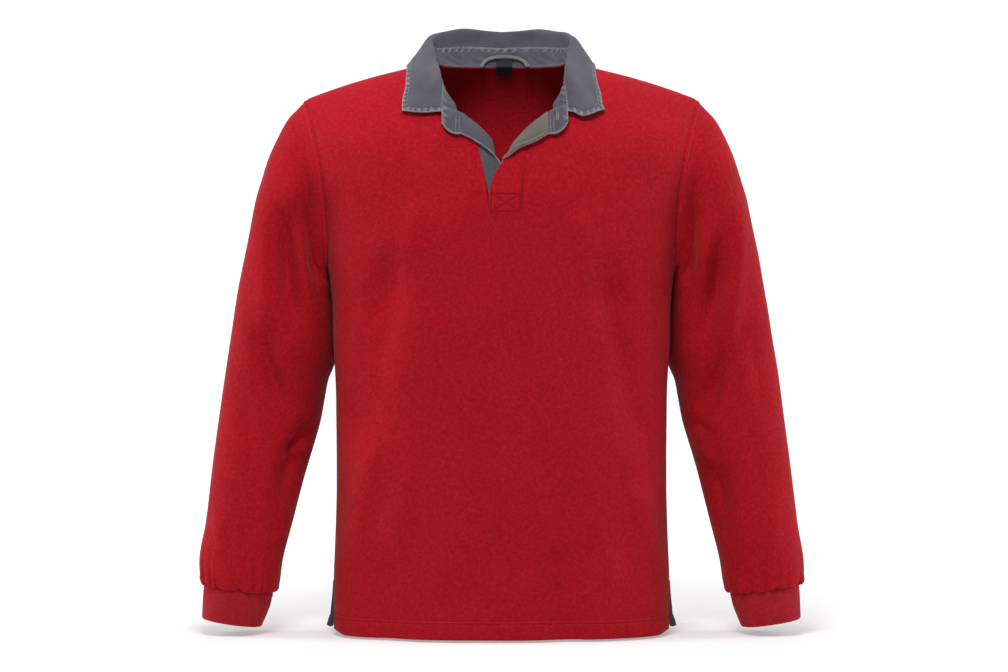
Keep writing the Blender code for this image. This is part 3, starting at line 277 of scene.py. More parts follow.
# Neck label: middle x, half width, top and bottom height. Hanger loop: ends and crown as x, z.
LABEL = (0.0033, 0.0105, 0.0200, -0.0010)
LABEL_CLOTH = 0.0010
HANGER_PATH = ((-0.0270, 0.0085), (-0.0215, 0.0165), (-0.0120, 0.0212), (0.0035, 0.0225),
               (0.0190, 0.0212), (0.0290, 0.0165), (0.0349, 0.0085))
HANGER_HALF_WIDTH = 0.0024
HANGER_CLOTH = 0.0012
HANGER_DEPTH = 0.0055
TAPE_WIDTH = 0.010
TAPE_CLOTH = 0.0010
BUTTON_PLACE = (-0.0640, -0.0745)
BUTTONHOLE_PLACE = (0.0700, -0.0712)
BUTTONHOLE_HALF = 0.0060
LABEL_DEPTH = 0.0040


def smooth(table, at):
    """Monotone cubic curves through a table's rows, by its first column, one for each other column."""
    rows = np.array(sorted(table), float)
    knots, values = rows[:, 0], rows[:, 1:]
    at = np.clip(np.asarray(at, float), knots[0], knots[-1])
    step = np.diff(knots)[:, None]
    rise = np.diff(values, axis=0) / step
    slope = np.concatenate([rise[:1], rise[:-1], rise[-1:]])
    before, after = rise[:-1], rise[1:]
    same_way = before * after > 0
    total = np.where(same_way, before + after, 1.0)
    slope[1:-1] = np.where(same_way, 2 * before * after / total, 0.0)
    cell = np.clip(np.searchsorted(knots, at, side="right") - 1, 0, len(knots) - 2)
    width = step[cell]
    part = (at - knots[cell])[..., None] / width
    return hermite(values[cell], values[cell + 1], slope[cell] * width, slope[cell + 1] * width, part)


def hermite(start, end, start_slope, end_slope, part):
    """A cubic between two values with given slopes, at part 0 to 1 of the way."""
    square, cube = part**2, part**3
    return (
        start * (2 * cube - 3 * square + 1)
        + end * (3 * square - 2 * cube)
        + start_slope * (cube - 2 * square + part)
        + end_slope * (cube - square)
    )


def through(points, at):
    """A smooth curve through points along their first axis, read at places counted in points."""
    points = np.asarray(points, float)
    at = np.asarray(at, float)
    slope = np.gradient(points, axis=0)
    cell = np.clip(np.floor(at).astype(int), 0, len(points) - 2)
    part = (at - cell).reshape(-1, *[1] * (points.ndim - 1))
    return hermite(points[cell], points[cell + 1], slope[cell], slope[cell + 1], part)


def straight(points, at):
    """Straight lines between points along their first axis, read at places counted in points."""
    points = np.asarray(points, float)
    at = np.asarray(at, float)
    cell = np.clip(np.floor(at).astype(int), 0, len(points) - 2)
    part = (at - cell).reshape(-1, *[1] * (points.ndim - 1))
    return points[cell] * (1 - part) + points[cell + 1] * part


def ease(value):
    """0 to 1 with level ends."""
    value = np.clip(value, 0.0, 1.0)
    return value * value * (3 - 2 * value)


def fold_lines(folds, x, z, face, count):
    """For each fold of a face: distances to points along it, their shares of the way, half width, height."""
    way = np.linspace(0.0, 1.0, count)
    for side, fold_face, x0, z0, x1, z1, x2, z2, half, height in folds:
        if fold_face != face:
            continue
        for sign in (-1, 1):
            if side not in (0, sign):
                continue
            line_x = sign * ((1 - way) ** 2 * x0 + 2 * way * (1 - way) * x1 + way**2 * x2)
            line_z = (1 - way) ** 2 * z0 + 2 * way * (1 - way) * z1 + way**2 * z2
            yield np.hypot(x[..., None] - line_x, z[..., None] - line_z), way, half, height


def fold_height(folds, x, z, face):
    """Height of the soft folds over a surface at places x, z of its front or back view."""
    total = np.zeros(np.shape(x))
    for apart, way, half, height in fold_lines(folds, x, z, face, 25):
        fade = ease(4 * way) * ease(4 * (1 - way))
        total += height * fade[apart.argmin(axis=-1)] * bell(apart.min(axis=-1), half)
    return total


def long_folds(folds, x, z, face):
    """Height of the sleeve folds, which rise and die away along their whole length."""
    total = np.zeros(np.shape(x))
    for apart, way, half, height in fold_lines(folds, x, z, face, 33):
        total += height * np.max(np.sin(np.pi * way) * bell(apart, half), axis=-1)
    return total


def bell(distance, width):
    """1 at no distance, dying away over a width."""
    return np.exp(-((distance / width) ** 2))


def shoulder_line(x):
    """Height of the shoulder seam's line, rising to the neck."""
    out = np.abs(x)
    rise = 0.040 * np.exp(-((out / 0.072) ** 2.4))
    drop = 0.63 * np.maximum(out - 0.090, 0.0) ** 1.48
    return rise - drop


def trunk_width(z, face):
    """Half width of a panel's full outline at a height, to the middle of its wall."""
    return smooth(TRUNK, z)[..., 0 if face < 0 else 1] - FLEECE / 2


def trunk_depth(x, z, face):
    """How far the body's middle surface stands from the plane of the side seams."""
    depth = smooth(TRUNK, z)[..., 2 if face < 0 else 3]
    across = np.clip(np.abs(x) / trunk_width(z, face), 0.0, 1.0)
    side_round = (1 - across**BODY_SQUARENESS) ** (1 / BODY_SQUARENESS)
    fall = np.clip((shoulder_line(x) - z) / SHOULDER_ROUND, 0.0, 1.0)
    top_round = np.sqrt(1 - (1 - fall) ** 2)
    return (depth + fold_height(TRUNK_FOLDS, x, z, face)) * side_round * top_round


def trunk_point(x, z, face, height=0.0):
    """The body's middle surface at x, z of its front (-1) or back (1), or a place that far outside it."""
    x, z = np.broadcast_arrays(np.asarray(x, float), np.asarray(z, float))
    point = np.stack([x, face * trunk_depth(x, z, face), z], axis=-1)
    lift = np.asarray(height, float) / np.maximum(np.abs(trunk_normal(x, z, face)[..., 1]), 0.55)
    point[..., 1] += face * lift
    return point


def trunk_normal(x, z, face):
    """The body's outward direction at x, z, read a little inside its seams."""
    near = 0.0012
    x, z = np.broadcast_arrays(np.asarray(x, float), np.asarray(z, float))
    inside_x = np.sign(x) * np.minimum(np.abs(x), trunk_width(z, face) - 1.5 * near)
    inside_z = np.minimum(z, shoulder_line(x) - 1.5 * near)
    over_x = trunk_depth(inside_x + near, inside_z, face) - trunk_depth(inside_x - near, inside_z, face)
    over_z = trunk_depth(inside_x, inside_z + near, face) - trunk_depth(inside_x, inside_z - near, face)
    ways = np.stack([-over_x, np.full(x.shape, face * 2 * near), -over_z], axis=-1)
    return ways / np.linalg.norm(ways, axis=-1, keepdims=True)


def panel_edge(z, face):
    """Distance of a panel's side edge from the middle: the armhole, the side seam, then the vent."""
    z = np.asarray(z, float)
    armhole = smooth(ARMHOLE, z)[..., 0]
    side = trunk_width(z, face) - smooth(VENT, z)[..., 0 if face < 0 else 1]
    return np.where(z > ARMPIT_Z, armhole, side)


def foot_places(side, first, last):
    """The neck seam's places x and z on one side, at half sections from first to last."""
    at = np.arange(first * COLLAR_STEPS_PER_SECTION, last * COLLAR_STEPS_PER_SECTION + 1)
    places = straight(FOOT_ROWS, at / COLLAR_STEPS_PER_SECTION)
    places[:, 0] += spread(at / COLLAR_STEPS_PER_SECTION, side, 0)
    places[:, 0] *= side
    return places


def spread(section, side, column):
    """How far a neck section is shifted outwards on the viewer's right."""
    return smooth(RIGHT_SPREAD, section)[..., column] if side > 0 else 0.0 * np.asarray(section, float)


def front_top():
    """The front panel's upper edge, x and z from the viewer's left: shoulder, neckline, slit and back up."""
    shoulder = np.array(shoulder_columns())
    slit_rows = [0, 2, 3, 5, 6]
    left = np.array([UNDER_PLACKET[row][:2] for row in slit_rows])
    right = np.array([UPPER_PLACKET[row][:2] for row in slit_rows])
    left[0, 1] = right[0, 1] = SLIT_END_Z
    left = np.vstack([shoulder * (-1, 1), foot_places(-1, 3, SLIT_TOP_SECTION), left[::-1]])
    right = np.vstack([right, foot_places(1, 3, SLIT_TOP_SECTION)[::-1], shoulder[::-1]])
    return np.vstack([left, right])


def back_top():
    """The back panel's upper edge, x and z from the viewer's left."""
    shoulder = np.array(shoulder_columns())
    neck = foot_places(1, 0, 3)
    left = np.vstack([shoulder, neck[:0:-1]]) * (-1, 1)
    return np.vstack([left, neck, shoulder[::-1]])


def shoulder_columns():
    """Places down one shoulder seam from its tip, short of the neck."""
    inner = np.arcsin(NECK_SIDE_X / SHOULDER_TIP_X)
    turns = np.linspace(np.pi / 2, inner, SHOULDER_STEPS + 1)[:-1]
    return [(float(x), float(shoulder_line(x))) for x in SHOULDER_TIP_X * np.sin(turns)]


def armhole_ring(turn, side):
    """The armhole seam round the sleeve: 0 at the shoulder, a quarter turn in front, half at the armpit."""
    tip_z = shoulder_line(SHOULDER_TIP_X)
    z = tip_z + (ARMPIT_Z - tip_z) * (1 - np.cos(turn)) / 2
    x = smooth(ARMHOLE, z)[..., 0]
    front = trunk_point(side * x, z, -1)
    back = trunk_point(side * x, z, 1)
    ring = np.where((np.sin(turn) > 0)[..., None], front, back)
    ring[np.abs(np.sin(turn)) < 1e-9, 1] = 0.0
    return ring


def ring_points(outer, inner, middle_y, half_depth, turn, side, set_back=0.0):
    """A rounded ring between an outer and an inner edge (x, z), a quarter turn being the front."""
    cos, sin = np.cos(turn), np.sin(turn)
    along = np.sign(cos) * np.abs(cos) ** (2 / SLEEVE_SQUARENESS)
    ahead = np.sign(sin) * np.abs(sin) ** (2 / SLEEVE_SQUARENESS)
    x = (outer[0] + inner[0]) / 2 + along * (outer[0] - inner[0]) / 2
    z = (outer[1] + inner[1]) / 2 + along * (outer[1] - inner[1]) / 2
    return np.stack([side * x, middle_y - set_back * along - half_depth * ahead, z], axis=-1)


def sleeve_base(place, turn, side):
    """The sleeve's middle surface without its folds, at places along it and round it."""
    outer_z, inner_z, middle_y, half_depth, set_back = np.moveaxis(smooth(SLEEVE, place), -1, 0)
    outer_x = smooth(SLEEVE_OUTER, outer_z)[..., 0] - FLEECE / 2
    inner_x = smooth(SLEEVE_INNER, inner_z)[..., 0] + FLEECE / 2
    return ring_points((outer_x, outer_z), (inner_x, inner_z), middle_y, half_depth, turn, side, set_back)


def cuff_middle(place, turn, side):
    """The cuff's middle surface, at places down it and round it."""
    outer_x, outer_z, inner_x, inner_z, middle_y, half_depth = np.moveaxis(smooth(CUFF, place), -1, 0)
    outer = (outer_x - FLEECE / 2, outer_z)
    inner = (inner_x + FLEECE / 2, inner_z)
    return ring_points(outer, inner, middle_y, half_depth, turn, side)


def neck_columns(side):
    """The neck's sections on one side, as points of foot, middle, top, roll, fall middle and fall edge."""
    sections = []
    for row in NECK_SECTIONS:
        sections.append(np.vstack([np.zeros(3), np.array(row[2:]).reshape(5, 3)]))
    for row in TURNED_SECTIONS:
        places = np.array(row).reshape(6, 3)
        sections.append(trunk_point(places[:, 0], places[:, 1], -1, places[:, 2]))
    sections = np.array(sections)
    index = np.arange(len(sections))
    sections[:, :5, 0] += spread(index, side, 0)[:, None]
    sections[:, 5, 0] += spread(index, side, 1)
    sections[..., 0] *= side
    return sections


def quadratic(start, middle, end, count):
    """Points from start through middle to end, along a new second axis."""
    part = np.linspace(0.0, 1.0, count)[None, :, None]
    start, middle, end = start[:, None], middle[:, None], end[:, None]
    return (
        start * (1 - part) * (1 - 2 * part)
        + middle * 4 * part * (1 - part)
        + end * part * (2 * part - 1)
    )


def placket_column(rows, start, end, share, bump):
    """One line of a placket, a share of the way between two of its table's places."""
    x, z, height = (rows[:, a] * (1 - share) + rows[:, b] * share for a, b in zip(start, end))
    return trunk_point(x, z, -1, height + bump * rows[:, 9])


def stand_inner_y(x, z):
    """Depth of the stand's or the back panel's inner side at x, z of the back of the neck."""
    foot_z, top_z = 0.009, 0.035
    foot_y = trunk_point(x, np.minimum(z, foot_z), 1)[..., 1]
    out = np.abs(x)
    top_y = 0.0842 - 0.0087 * (out / 0.048) ** 2
    share = np.clip((z - foot_z) / (top_z - foot_z), 0.0, 1.0)
    return foot_y * (1 - share) + top_y * share


# Creases too small for the solids, in the columns of the fold tables above.
# The gains deepen all folds, sleeve and trunk, over the solids' own.
FOLD_GAIN = 2.6
TRUNK_GAIN = 3.0
SLEEVE_CREASES = (
    (-1, -1, 0.240, -0.466, 0.256, -0.478, 0.276, -0.494, 0.0065, -0.0026),
    (-1, -1, 0.238, -0.484, 0.252, -0.494, 0.268, -0.502, 0.0050, 0.0018),
    (-1, -1, 0.262, -0.592, 0.280, -0.601, 0.300, -0.605, 0.0060, 0.0014),
    (-1, -1, 0.362, -0.560, 0.356, -0.592, 0.352, -0.622, 0.0080, 0.0016),
    (-1, -1, 0.330, -0.625, 0.322, -0.600, 0.320, -0.570, 0.0070, -0.0012),
    (-1, -1, 0.300, -0.245, 0.296, -0.300, 0.302, -0.350, 0.0120, 0.0022),
    (-1, -1, 0.262, -0.130, 0.262, -0.165, 0.270, -0.195, 0.0110, 0.0018),
    (-1, -1, 0.330, -0.400, 0.322, -0.450, 0.316, -0.505, 0.0140, -0.0016),
    (1, -1, 0.236, -0.452, 0.252, -0.462, 0.270, -0.470, 0.0070, -0.0024),
    (1, -1, 0.246, -0.486, 0.262, -0.500, 0.280, -0.508, 0.0070, 0.0016),
    (1, -1, 0.258, -0.576, 0.276, -0.592, 0.296, -0.600, 0.0070, -0.0012),
    (1, -1, 0.350, -0.590, 0.342, -0.612, 0.330, -0.630, 0.0070, 0.0014),
    (1, -1, 0.256, -0.205, 0.254, -0.250, 0.256, -0.300, 0.0080, 0.0026),
    (1, -1, 0.318, -0.330, 0.326, -0.390, 0.334, -0.450, 0.0130, -0.0018),
    (1, -1, 0.300, -0.470, 0.306, -0.520, 0.318, -0.570, 0.0140, 0.0016),
    (-1, 1, 0.350, -0.400, 0.318, -0.424, 0.276, -0.440, 0.0080, -0.0024),
    (-1, 1, 0.342, -0.432, 0.312, -0.452, 0.280, -0.462, 0.0070, 0.0020),
    (-1, 1, 0.300, -0.200, 0.292, -0.250, 0.290, -0.300, 0.0110, 0.0020),
    (-1, 1, 0.362, -0.545, 0.340, -0.570, 0.306, -0.590, 0.0090, -0.0016),
    (1, 1, 0.346, -0.386, 0.314, -0.412, 0.270, -0.424, 0.0080, -0.0026),
    (1, 1, 0.350, -0.462, 0.322, -0.478, 0.288, -0.484, 0.0080, 0.0018),
    (1, 1, 0.292, -0.180, 0.284, -0.235, 0.286, -0.290, 0.0110, 0.0022),
    (1, 1, 0.358, -0.520, 0.334, -0.552, 0.302, -0.566, 0.0090, -0.0014),
)
TRUNK_CREASES = (
    (-1, -1, 0.150, -0.300, 0.166, -0.390, 0.176, -0.470, 0.0130, 0.0022),
    (-1, -1, 0.098, -0.170, 0.116, -0.235, 0.122, -0.300, 0.0170, 0.0016),
    (-1, -1, 0.186, -0.280, 0.196, -0.350, 0.200, -0.420, 0.0100, -0.0022),
    (-1, -1, 0.060, -0.560, 0.074, -0.610, 0.076, -0.665, 0.0200, 0.0018),
    (-1, -1, 0.030, -0.600, 0.034, -0.640, 0.032, -0.690, 0.0160, -0.0014),
    (-1, -1, 0.110, -0.500, 0.128, -0.560, 0.136, -0.620, 0.0180, 0.0016),
    (1, -1, 0.144, -0.290, 0.168, -0.380, 0.180, -0.450, 0.0130, 0.0022),
    (1, -1, 0.186, -0.262, 0.192, -0.310, 0.190, -0.352, 0.0110, -0.0024),
    (1, -1, 0.092, -0.180, 0.106, -0.240, 0.112, -0.300, 0.0170, 0.0014),
    (1, -1, 0.030, -0.560, 0.036, -0.600, 0.040, -0.660, 0.0180, -0.0014),
    (1, -1, 0.120, -0.560, 0.132, -0.610, 0.136, -0.670, 0.0180, 0.0018),
    (1, -1, 0.196, -0.430, 0.200, -0.500, 0.198, -0.560, 0.0110, 0.0016),
    (0, 1, 0.100, -0.090, 0.120, -0.160, 0.126, -0.240, 0.0200, 0.0026),
    (-1, 1, 0.010, -0.230, 0.022, -0.360, 0.018, -0.470, 0.0260, 0.0024),
    (-1, 1, 0.170, -0.420, 0.178, -0.510, 0.182, -0.600, 0.0160, 0.0026),
    (-1, 1, 0.096, -0.560, 0.104, -0.620, 0.108, -0.690, 0.0190, 0.0024),
    (1, 1, 0.186, -0.330, 0.190, -0.420, 0.188, -0.500, 0.0130, -0.0028),
    (1, 1, 0.118, -0.540, 0.120, -0.610, 0.116, -0.690, 0.0200, 0.0026),
    (1, 1, 0.000, -0.560, 0.012, -0.630, 0.016, -0.700, 0.0180, -0.0020),
)
# From here the trunk's folds are these deeper ones, with the creases.
TRUNK_FOLDS = tuple(fold[:-1] + (TRUNK_GAIN * fold[-1],) for fold in TRUNK_FOLDS + TRUNK_CREASES)

PANEL_STEPS_PER_COLUMN = 4
ARMHOLE_ROWS = 74
LOWER_ROW_STEP = 0.0062
SLEEVE_COLUMNS = 132
SLEEVE_ROWS = 190
CUFF_ROWS = 30
NECK_STEPS = 24
STAND_COLUMNS = 21
PLACKET_STEPS = 24
SEWN_BOX = (-0.0128, 0.0236, -0.1912, -0.1690)
STITCH_PITCH = 0.0033
STITCH_LENGTH = 0.0024
STITCH_RADIUS = 0.00034
# Where stitch lines run: above the hem's fold, in from the vent, down from the armhole, in from canvas edges.
HEM_STITCH_LINES = (0.0004, 0.0046)
VENT_STITCH_LINE = 0.0055
SLEEVE_STITCH_LINE = 0.0068
STAND_STITCH_LINE = 0.0022
FALL_STITCH_LINE = 0.0062
THREAD_PROUD = 0.0001
chance = np.random.default_rng(11)


# Materials


def node(tree, kind, settings=(), **inputs):
    """A shader node with its settings, its sockets given by name or linked from (node, output)."""
    made = tree.nodes.new(kind)
    for key, value in dict(settings).items():
        setattr(made, key, value)
    for key, value in inputs.items():
        socket = made.inputs[key.replace("_", " ")]
        if isinstance(value, tuple) and isinstance(value[0], bpy.types.Node):
            tree.links.new(value[0].outputs[value[1]], socket)
        else:
            socket.default_value = value
    return made


def ramp(tree, source, stops):
    """A colour ramp over a value, its stops as place and colour."""
    made = tree.nodes.new("ShaderNodeValToRGB")
    tree.links.new(source[0].outputs[source[1]], made.inputs["Fac"])
    elements = made.color_ramp.elements
    while len(elements) < len(stops):
        elements.new(0.5)
    for element, (place, colour) in zip(elements, stops):
        element.position = place
        element.color = (*colour, 1.0)
    return made


def grey(value):
    """A grey as a colour."""
    return (value, value, value)


def mix(tree, factor, first, second, way="MIX"):
    """Mixes two colours, each a colour or (node, output)."""
    made = tree.nodes.new("ShaderNodeMix")
    made.data_type = "RGBA"
    made.blend_type = way
    for place, value in ((0, factor), (6, first), (7, second)):
        if isinstance(value, tuple) and isinstance(value[0], bpy.types.Node):
            tree.links.new(value[0].outputs[value[1]], made.inputs[place])
        elif place:
            made.inputs[place].default_value = (*value, 1.0)
        else:
            made.inputs[0].default_value = value
    return (made, 2)


def math(tree, operation, first, second=0.0, third=0.0):
    """A math node over values or (node, output)."""
    made = tree.nodes.new("ShaderNodeMath")
    made.operation = operation
    for place, value in enumerate((first, second, third)):
        if isinstance(value, tuple):
            tree.links.new(value[0].outputs[value[1]], made.inputs[place])
        else:
            made.inputs[place].default_value = value
    return (made, 0)


def cloth(name, roughness, sheen, tint, sheen_roughness):
    """A new material with constant sheen, its tree, shader and coordinates."""
    material = bpy.data.materials.new(name)
    material.use_nodes = True
    tree = material.node_tree
    shader = tree.nodes["Principled BSDF"]
    shader.inputs["Roughness"].default_value = roughness
    shader.inputs["Sheen Weight"].default_value = sheen
    shader.inputs["Sheen Tint"].default_value = (*tint, 1.0)
    shader.inputs["Sheen Roughness"].default_value = sheen_roughness
    shader.inputs["Specular IOR Level"].default_value = 0.18
    coordinates = tree.nodes.new("ShaderNodeTexCoord")
    return material, tree, shader, coordinates


def finish_cloth(tree, shader, colour, height, distance, strength=1.0):
    """Links a colour and a bump from a height to the shader."""
    bump = node(tree, "ShaderNodeBump", Distance=distance, Strength=strength)
    tree.links.new(height[0].outputs[height[1]], bump.inputs["Height"])
    tree.links.new(bump.outputs["Normal"], shader.inputs["Normal"])
    tree.links.new(colour[0].outputs[colour[1]], shader.inputs["Base Color"])


def fleece(name, deep, middle, light, nap):
    """Brushed knitted fleece: a matted nap with small pills, stroked blotches and a soft sheen."""
    material, tree, shader, at = cloth(name, 0.96, 0.10, (1.0, 0.45, 0.45), 0.36)
    place = (at, "Object")
    blotch = node(tree, "ShaderNodeTexNoise", Vector=place, Scale=11.0, Detail=3.0, Roughness=0.55)
    mottle = node(tree, "ShaderNodeTexNoise", Vector=place, Scale=260.0, Detail=4.0, Roughness=0.66)
    hair = node(tree, "ShaderNodeTexNoise", Vector=place, Scale=880.0, Detail=3.0, Roughness=0.7)
    pills = node(tree, "ShaderNodeTexVoronoi", Vector=place, Scale=400.0, Randomness=1.0)
    base = ramp(tree, (mottle, "Fac"), ((0.28, deep), (0.52, middle), (0.78, light)))
    soft = ramp(tree, (blotch, "Fac"), ((0.28, grey(0.90)), (0.72, grey(1.05))))
    base = mix(tree, 1.0, (base, "Color"), (soft, "Color"), "MULTIPLY")
    tips = ramp(tree, (hair, "Fac"), ((0.56, grey(0.0)), (0.74, grey(0.42))))
    base = mix(tree, (tips, "Color"), base, light)
    pits = ramp(tree, (pills, "Distance"), ((0.00, grey(0.30)), (0.22, grey(0.0))))
    base = mix(tree, (pits, "Color"), base, deep)
    high = math(tree, "MULTIPLY", (mottle, "Fac"), 1.0)
    high = math(tree, "MULTIPLY_ADD", (hair, "Fac"), 0.55, high)
    high = math(tree, "MULTIPLY_ADD", (pills, "Distance"), 0.40, high)
    finish_cloth(tree, shader, base, high, nap, 0.75)
    return material


def woven(name, dark, light, pitch, lean, roughness, worn=None, wear_reach=0.0035, twill=0.35):
    """Woven cloth with diagonal or straight threads, uneven dye, and pale worn edges where it has them."""
    material, tree, shader, at = cloth(name, roughness, 0.12, (0.9, 0.9, 1.0), 0.5)
    place = (at, "Object")
    parts = node(tree, "ShaderNodeSeparateXYZ", Vector=(at, "UV"))
    across = math(tree, "MULTIPLY", (parts, "X"), 6.2832 / pitch)
    down = math(tree, "MULTIPLY", (parts, "Y"), 6.2832 / pitch)
    slant = math(tree, "MULTIPLY_ADD", across, lean, down)
    rib = math(tree, "SINE", slant)
    fill = math(tree, "SINE", math(tree, "MULTIPLY_ADD", down, -0.35, across))
    weave = math(tree, "MULTIPLY_ADD", fill, 0.45, rib)
    weave = math(tree, "MULTIPLY_ADD", weave, 0.25, 0.5)
    dye = node(tree, "ShaderNodeTexNoise", Vector=place, Scale=34.0, Detail=4.0, Roughness=0.6)
    slub = node(tree, "ShaderNodeTexNoise", Vector=place, Scale=420.0, Detail=3.0, Roughness=0.65)
    shade = math(tree, "MULTIPLY_ADD", weave, twill, math(tree, "MULTIPLY", (dye, "Fac"), 0.62))
    shade = math(tree, "MULTIPLY_ADD", (slub, "Fac"), 0.30, shade)
    base = ramp(tree, shade, ((0.30, dark), (0.86, light)))
    base = (base, "Color")
    if worn is not None:
        edge = node(tree, "ShaderNodeAttribute", {"attribute_name": "edge"})
        near = math(tree, "DIVIDE", (edge, "Fac"), wear_reach)
        near = math(tree, "MULTIPLY_ADD", (slub, "Fac"), 1.5, math(tree, "ADD", near, -0.55))
        rub = ramp(tree, near, ((0.30, grey(0.80)), (1.0, grey(0.0))))
        base = mix(tree, (rub, "Color"), base, worn)
    high = math(tree, "MULTIPLY_ADD", (slub, "Fac"), 0.6, weave)
    finish_cloth(tree, shader, base, high, 0.00025, 0.7)
    return material


def thread(name, colour, light):
    """Twisted sewing thread."""
    material, tree, shader, at = cloth(name, 0.60, 0.10, (1.0, 1.0, 1.0), 0.4)
    twist = node(tree, "ShaderNodeTexNoise", Vector=(at, "Object"), Scale=900.0, Detail=2.0)
    base = ramp(tree, (twist, "Fac"), ((0.35, colour), (0.65, light)))
    finish_cloth(tree, shader, (base, "Color"), (twist, "Fac"), 0.0001, 0.5)
    return material


RED_DEEP, RED, RED_LIGHT = (0.280, 0.0015, 0.0060), (0.370, 0.0030, 0.0105), (0.460, 0.0090, 0.0185)
FLEECE_LOOK = fleece("brushed_red_fleece", RED_DEEP, RED, RED_LIGHT, 0.0009)
CUFF_LOOK = fleece("smooth_red_fleece", (0.300, 0.0060, 0.0130), (0.350, 0.0100, 0.0190),
                   (0.410, 0.018, 0.028), 0.0005)
PLACKET_LOOK = fleece("pressed_red_fleece", RED_DEEP, RED, RED_LIGHT, 0.0005)
CANVAS_LOOK = woven("washed_canvas", (0.047, 0.045, 0.061), (0.104, 0.099, 0.122), 0.0009, 1.0, 0.86,
                    worn=(0.300, 0.275, 0.300))
FACING_LOOK = woven("facing_cloth", (0.078, 0.066, 0.059), (0.166, 0.142, 0.126), 0.0011, 0.0, 0.90,
                    worn=(0.27, 0.25, 0.24), wear_reach=0.0022)
UNDER_LOOK = woven("under_placket_canvas", (0.044, 0.043, 0.054), (0.103, 0.100, 0.118), 0.0009, 1.0, 0.88,
                   worn=(0.25, 0.24, 0.26))
LABEL_LOOK = woven("label_satin", (0.007, 0.008, 0.013), (0.020, 0.022, 0.034), 0.0005, 0.0, 0.48, twill=0.2)
TAPE_LOOK = woven("dark_tape", (0.030, 0.027, 0.032), (0.085, 0.074, 0.080), 0.0010, 2.0, 0.90, twill=0.5)
LOOP_LOOK = woven("loop_cord", (0.085, 0.080, 0.085), (0.200, 0.190, 0.195), 0.0010, 1.0, 0.85, twill=0.5)
RED_THREAD = thread("red_thread", (0.330, 0.010, 0.018), (0.520, 0.050, 0.060))
# The box stitches' thread is dark red, and darker still as painted shade of the pressed box and seam lines it
# lies in.
DARK_THREAD_AND_GROOVE_SHADE = thread("dark_red_thread_and_painted_groove_shade", (0.090, 0.002, 0.005), (0.180, 0.005, 0.010))
GREY_THREAD = thread("grey_thread", (0.180, 0.170, 0.190), (0.380, 0.355, 0.385))
PALE_THREAD = thread("pale_thread", (0.260, 0.250, 0.255), (0.480, 0.470, 0.475))


# Shells and stitches


def unit(ways):
    """Directions at length 1."""
    return ways / np.maximum(np.linalg.norm(ways, axis=-1, keepdims=True), 1e-12)


def square_to(grid, closed):
    """Directions square to a finely cut grid of points."""
    if closed:
        across = np.roll(grid, -1, axis=1) - np.roll(grid, 1, axis=1)
    else:
        across = np.empty_like(grid)
        across[:, 1:-1] = grid[:, 2:] - grid[:, :-2]
        across[:, 0] = grid[:, 1] - grid[:, 0]
        across[:, -1] = grid[:, -1] - grid[:, -2]
    down = np.empty_like(grid)
    down[1:-1] = grid[2:] - grid[:-2]
    down[0] = grid[1] - grid[0]
    down[-1] = grid[-1] - grid[-2]
    return unit(np.cross(across, down))


def lengths(grid, axis):
    """Distance along each line of a grid from its start."""
    step = np.linalg.norm(np.diff(grid, axis=axis), axis=-1)
    start = np.zeros_like(np.take(step, [0], axis=axis))
    return np.concatenate([start, np.cumsum(step, axis=axis)], axis=axis)


def from_edges(grid):
    """Distances from a grid's top, bottom, left and right edges."""
    down, across = lengths(grid, 0), lengths(grid, 1)
    return down, down[-1:] - down, across, across[:, -1:] - across


def read(line, measure, at):
    """The point of a line at a distance along its measure."""
    return np.array([np.interp(at, measure, line[:, axis]) for axis in range(3)])


def dense(last, per, ends):
    """Places along a grid counted in cells, closer together in its first and last cells."""
    inner = np.arange(1, last - 1, 1.0 / per)
    return np.concatenate([ends, inner, last - ends[::-1]])


END_PLACES = np.array([0.0, 0.03, 0.07, 0.12, 0.18, 0.26, 0.36, 0.48, 0.61, 0.74, 0.87])


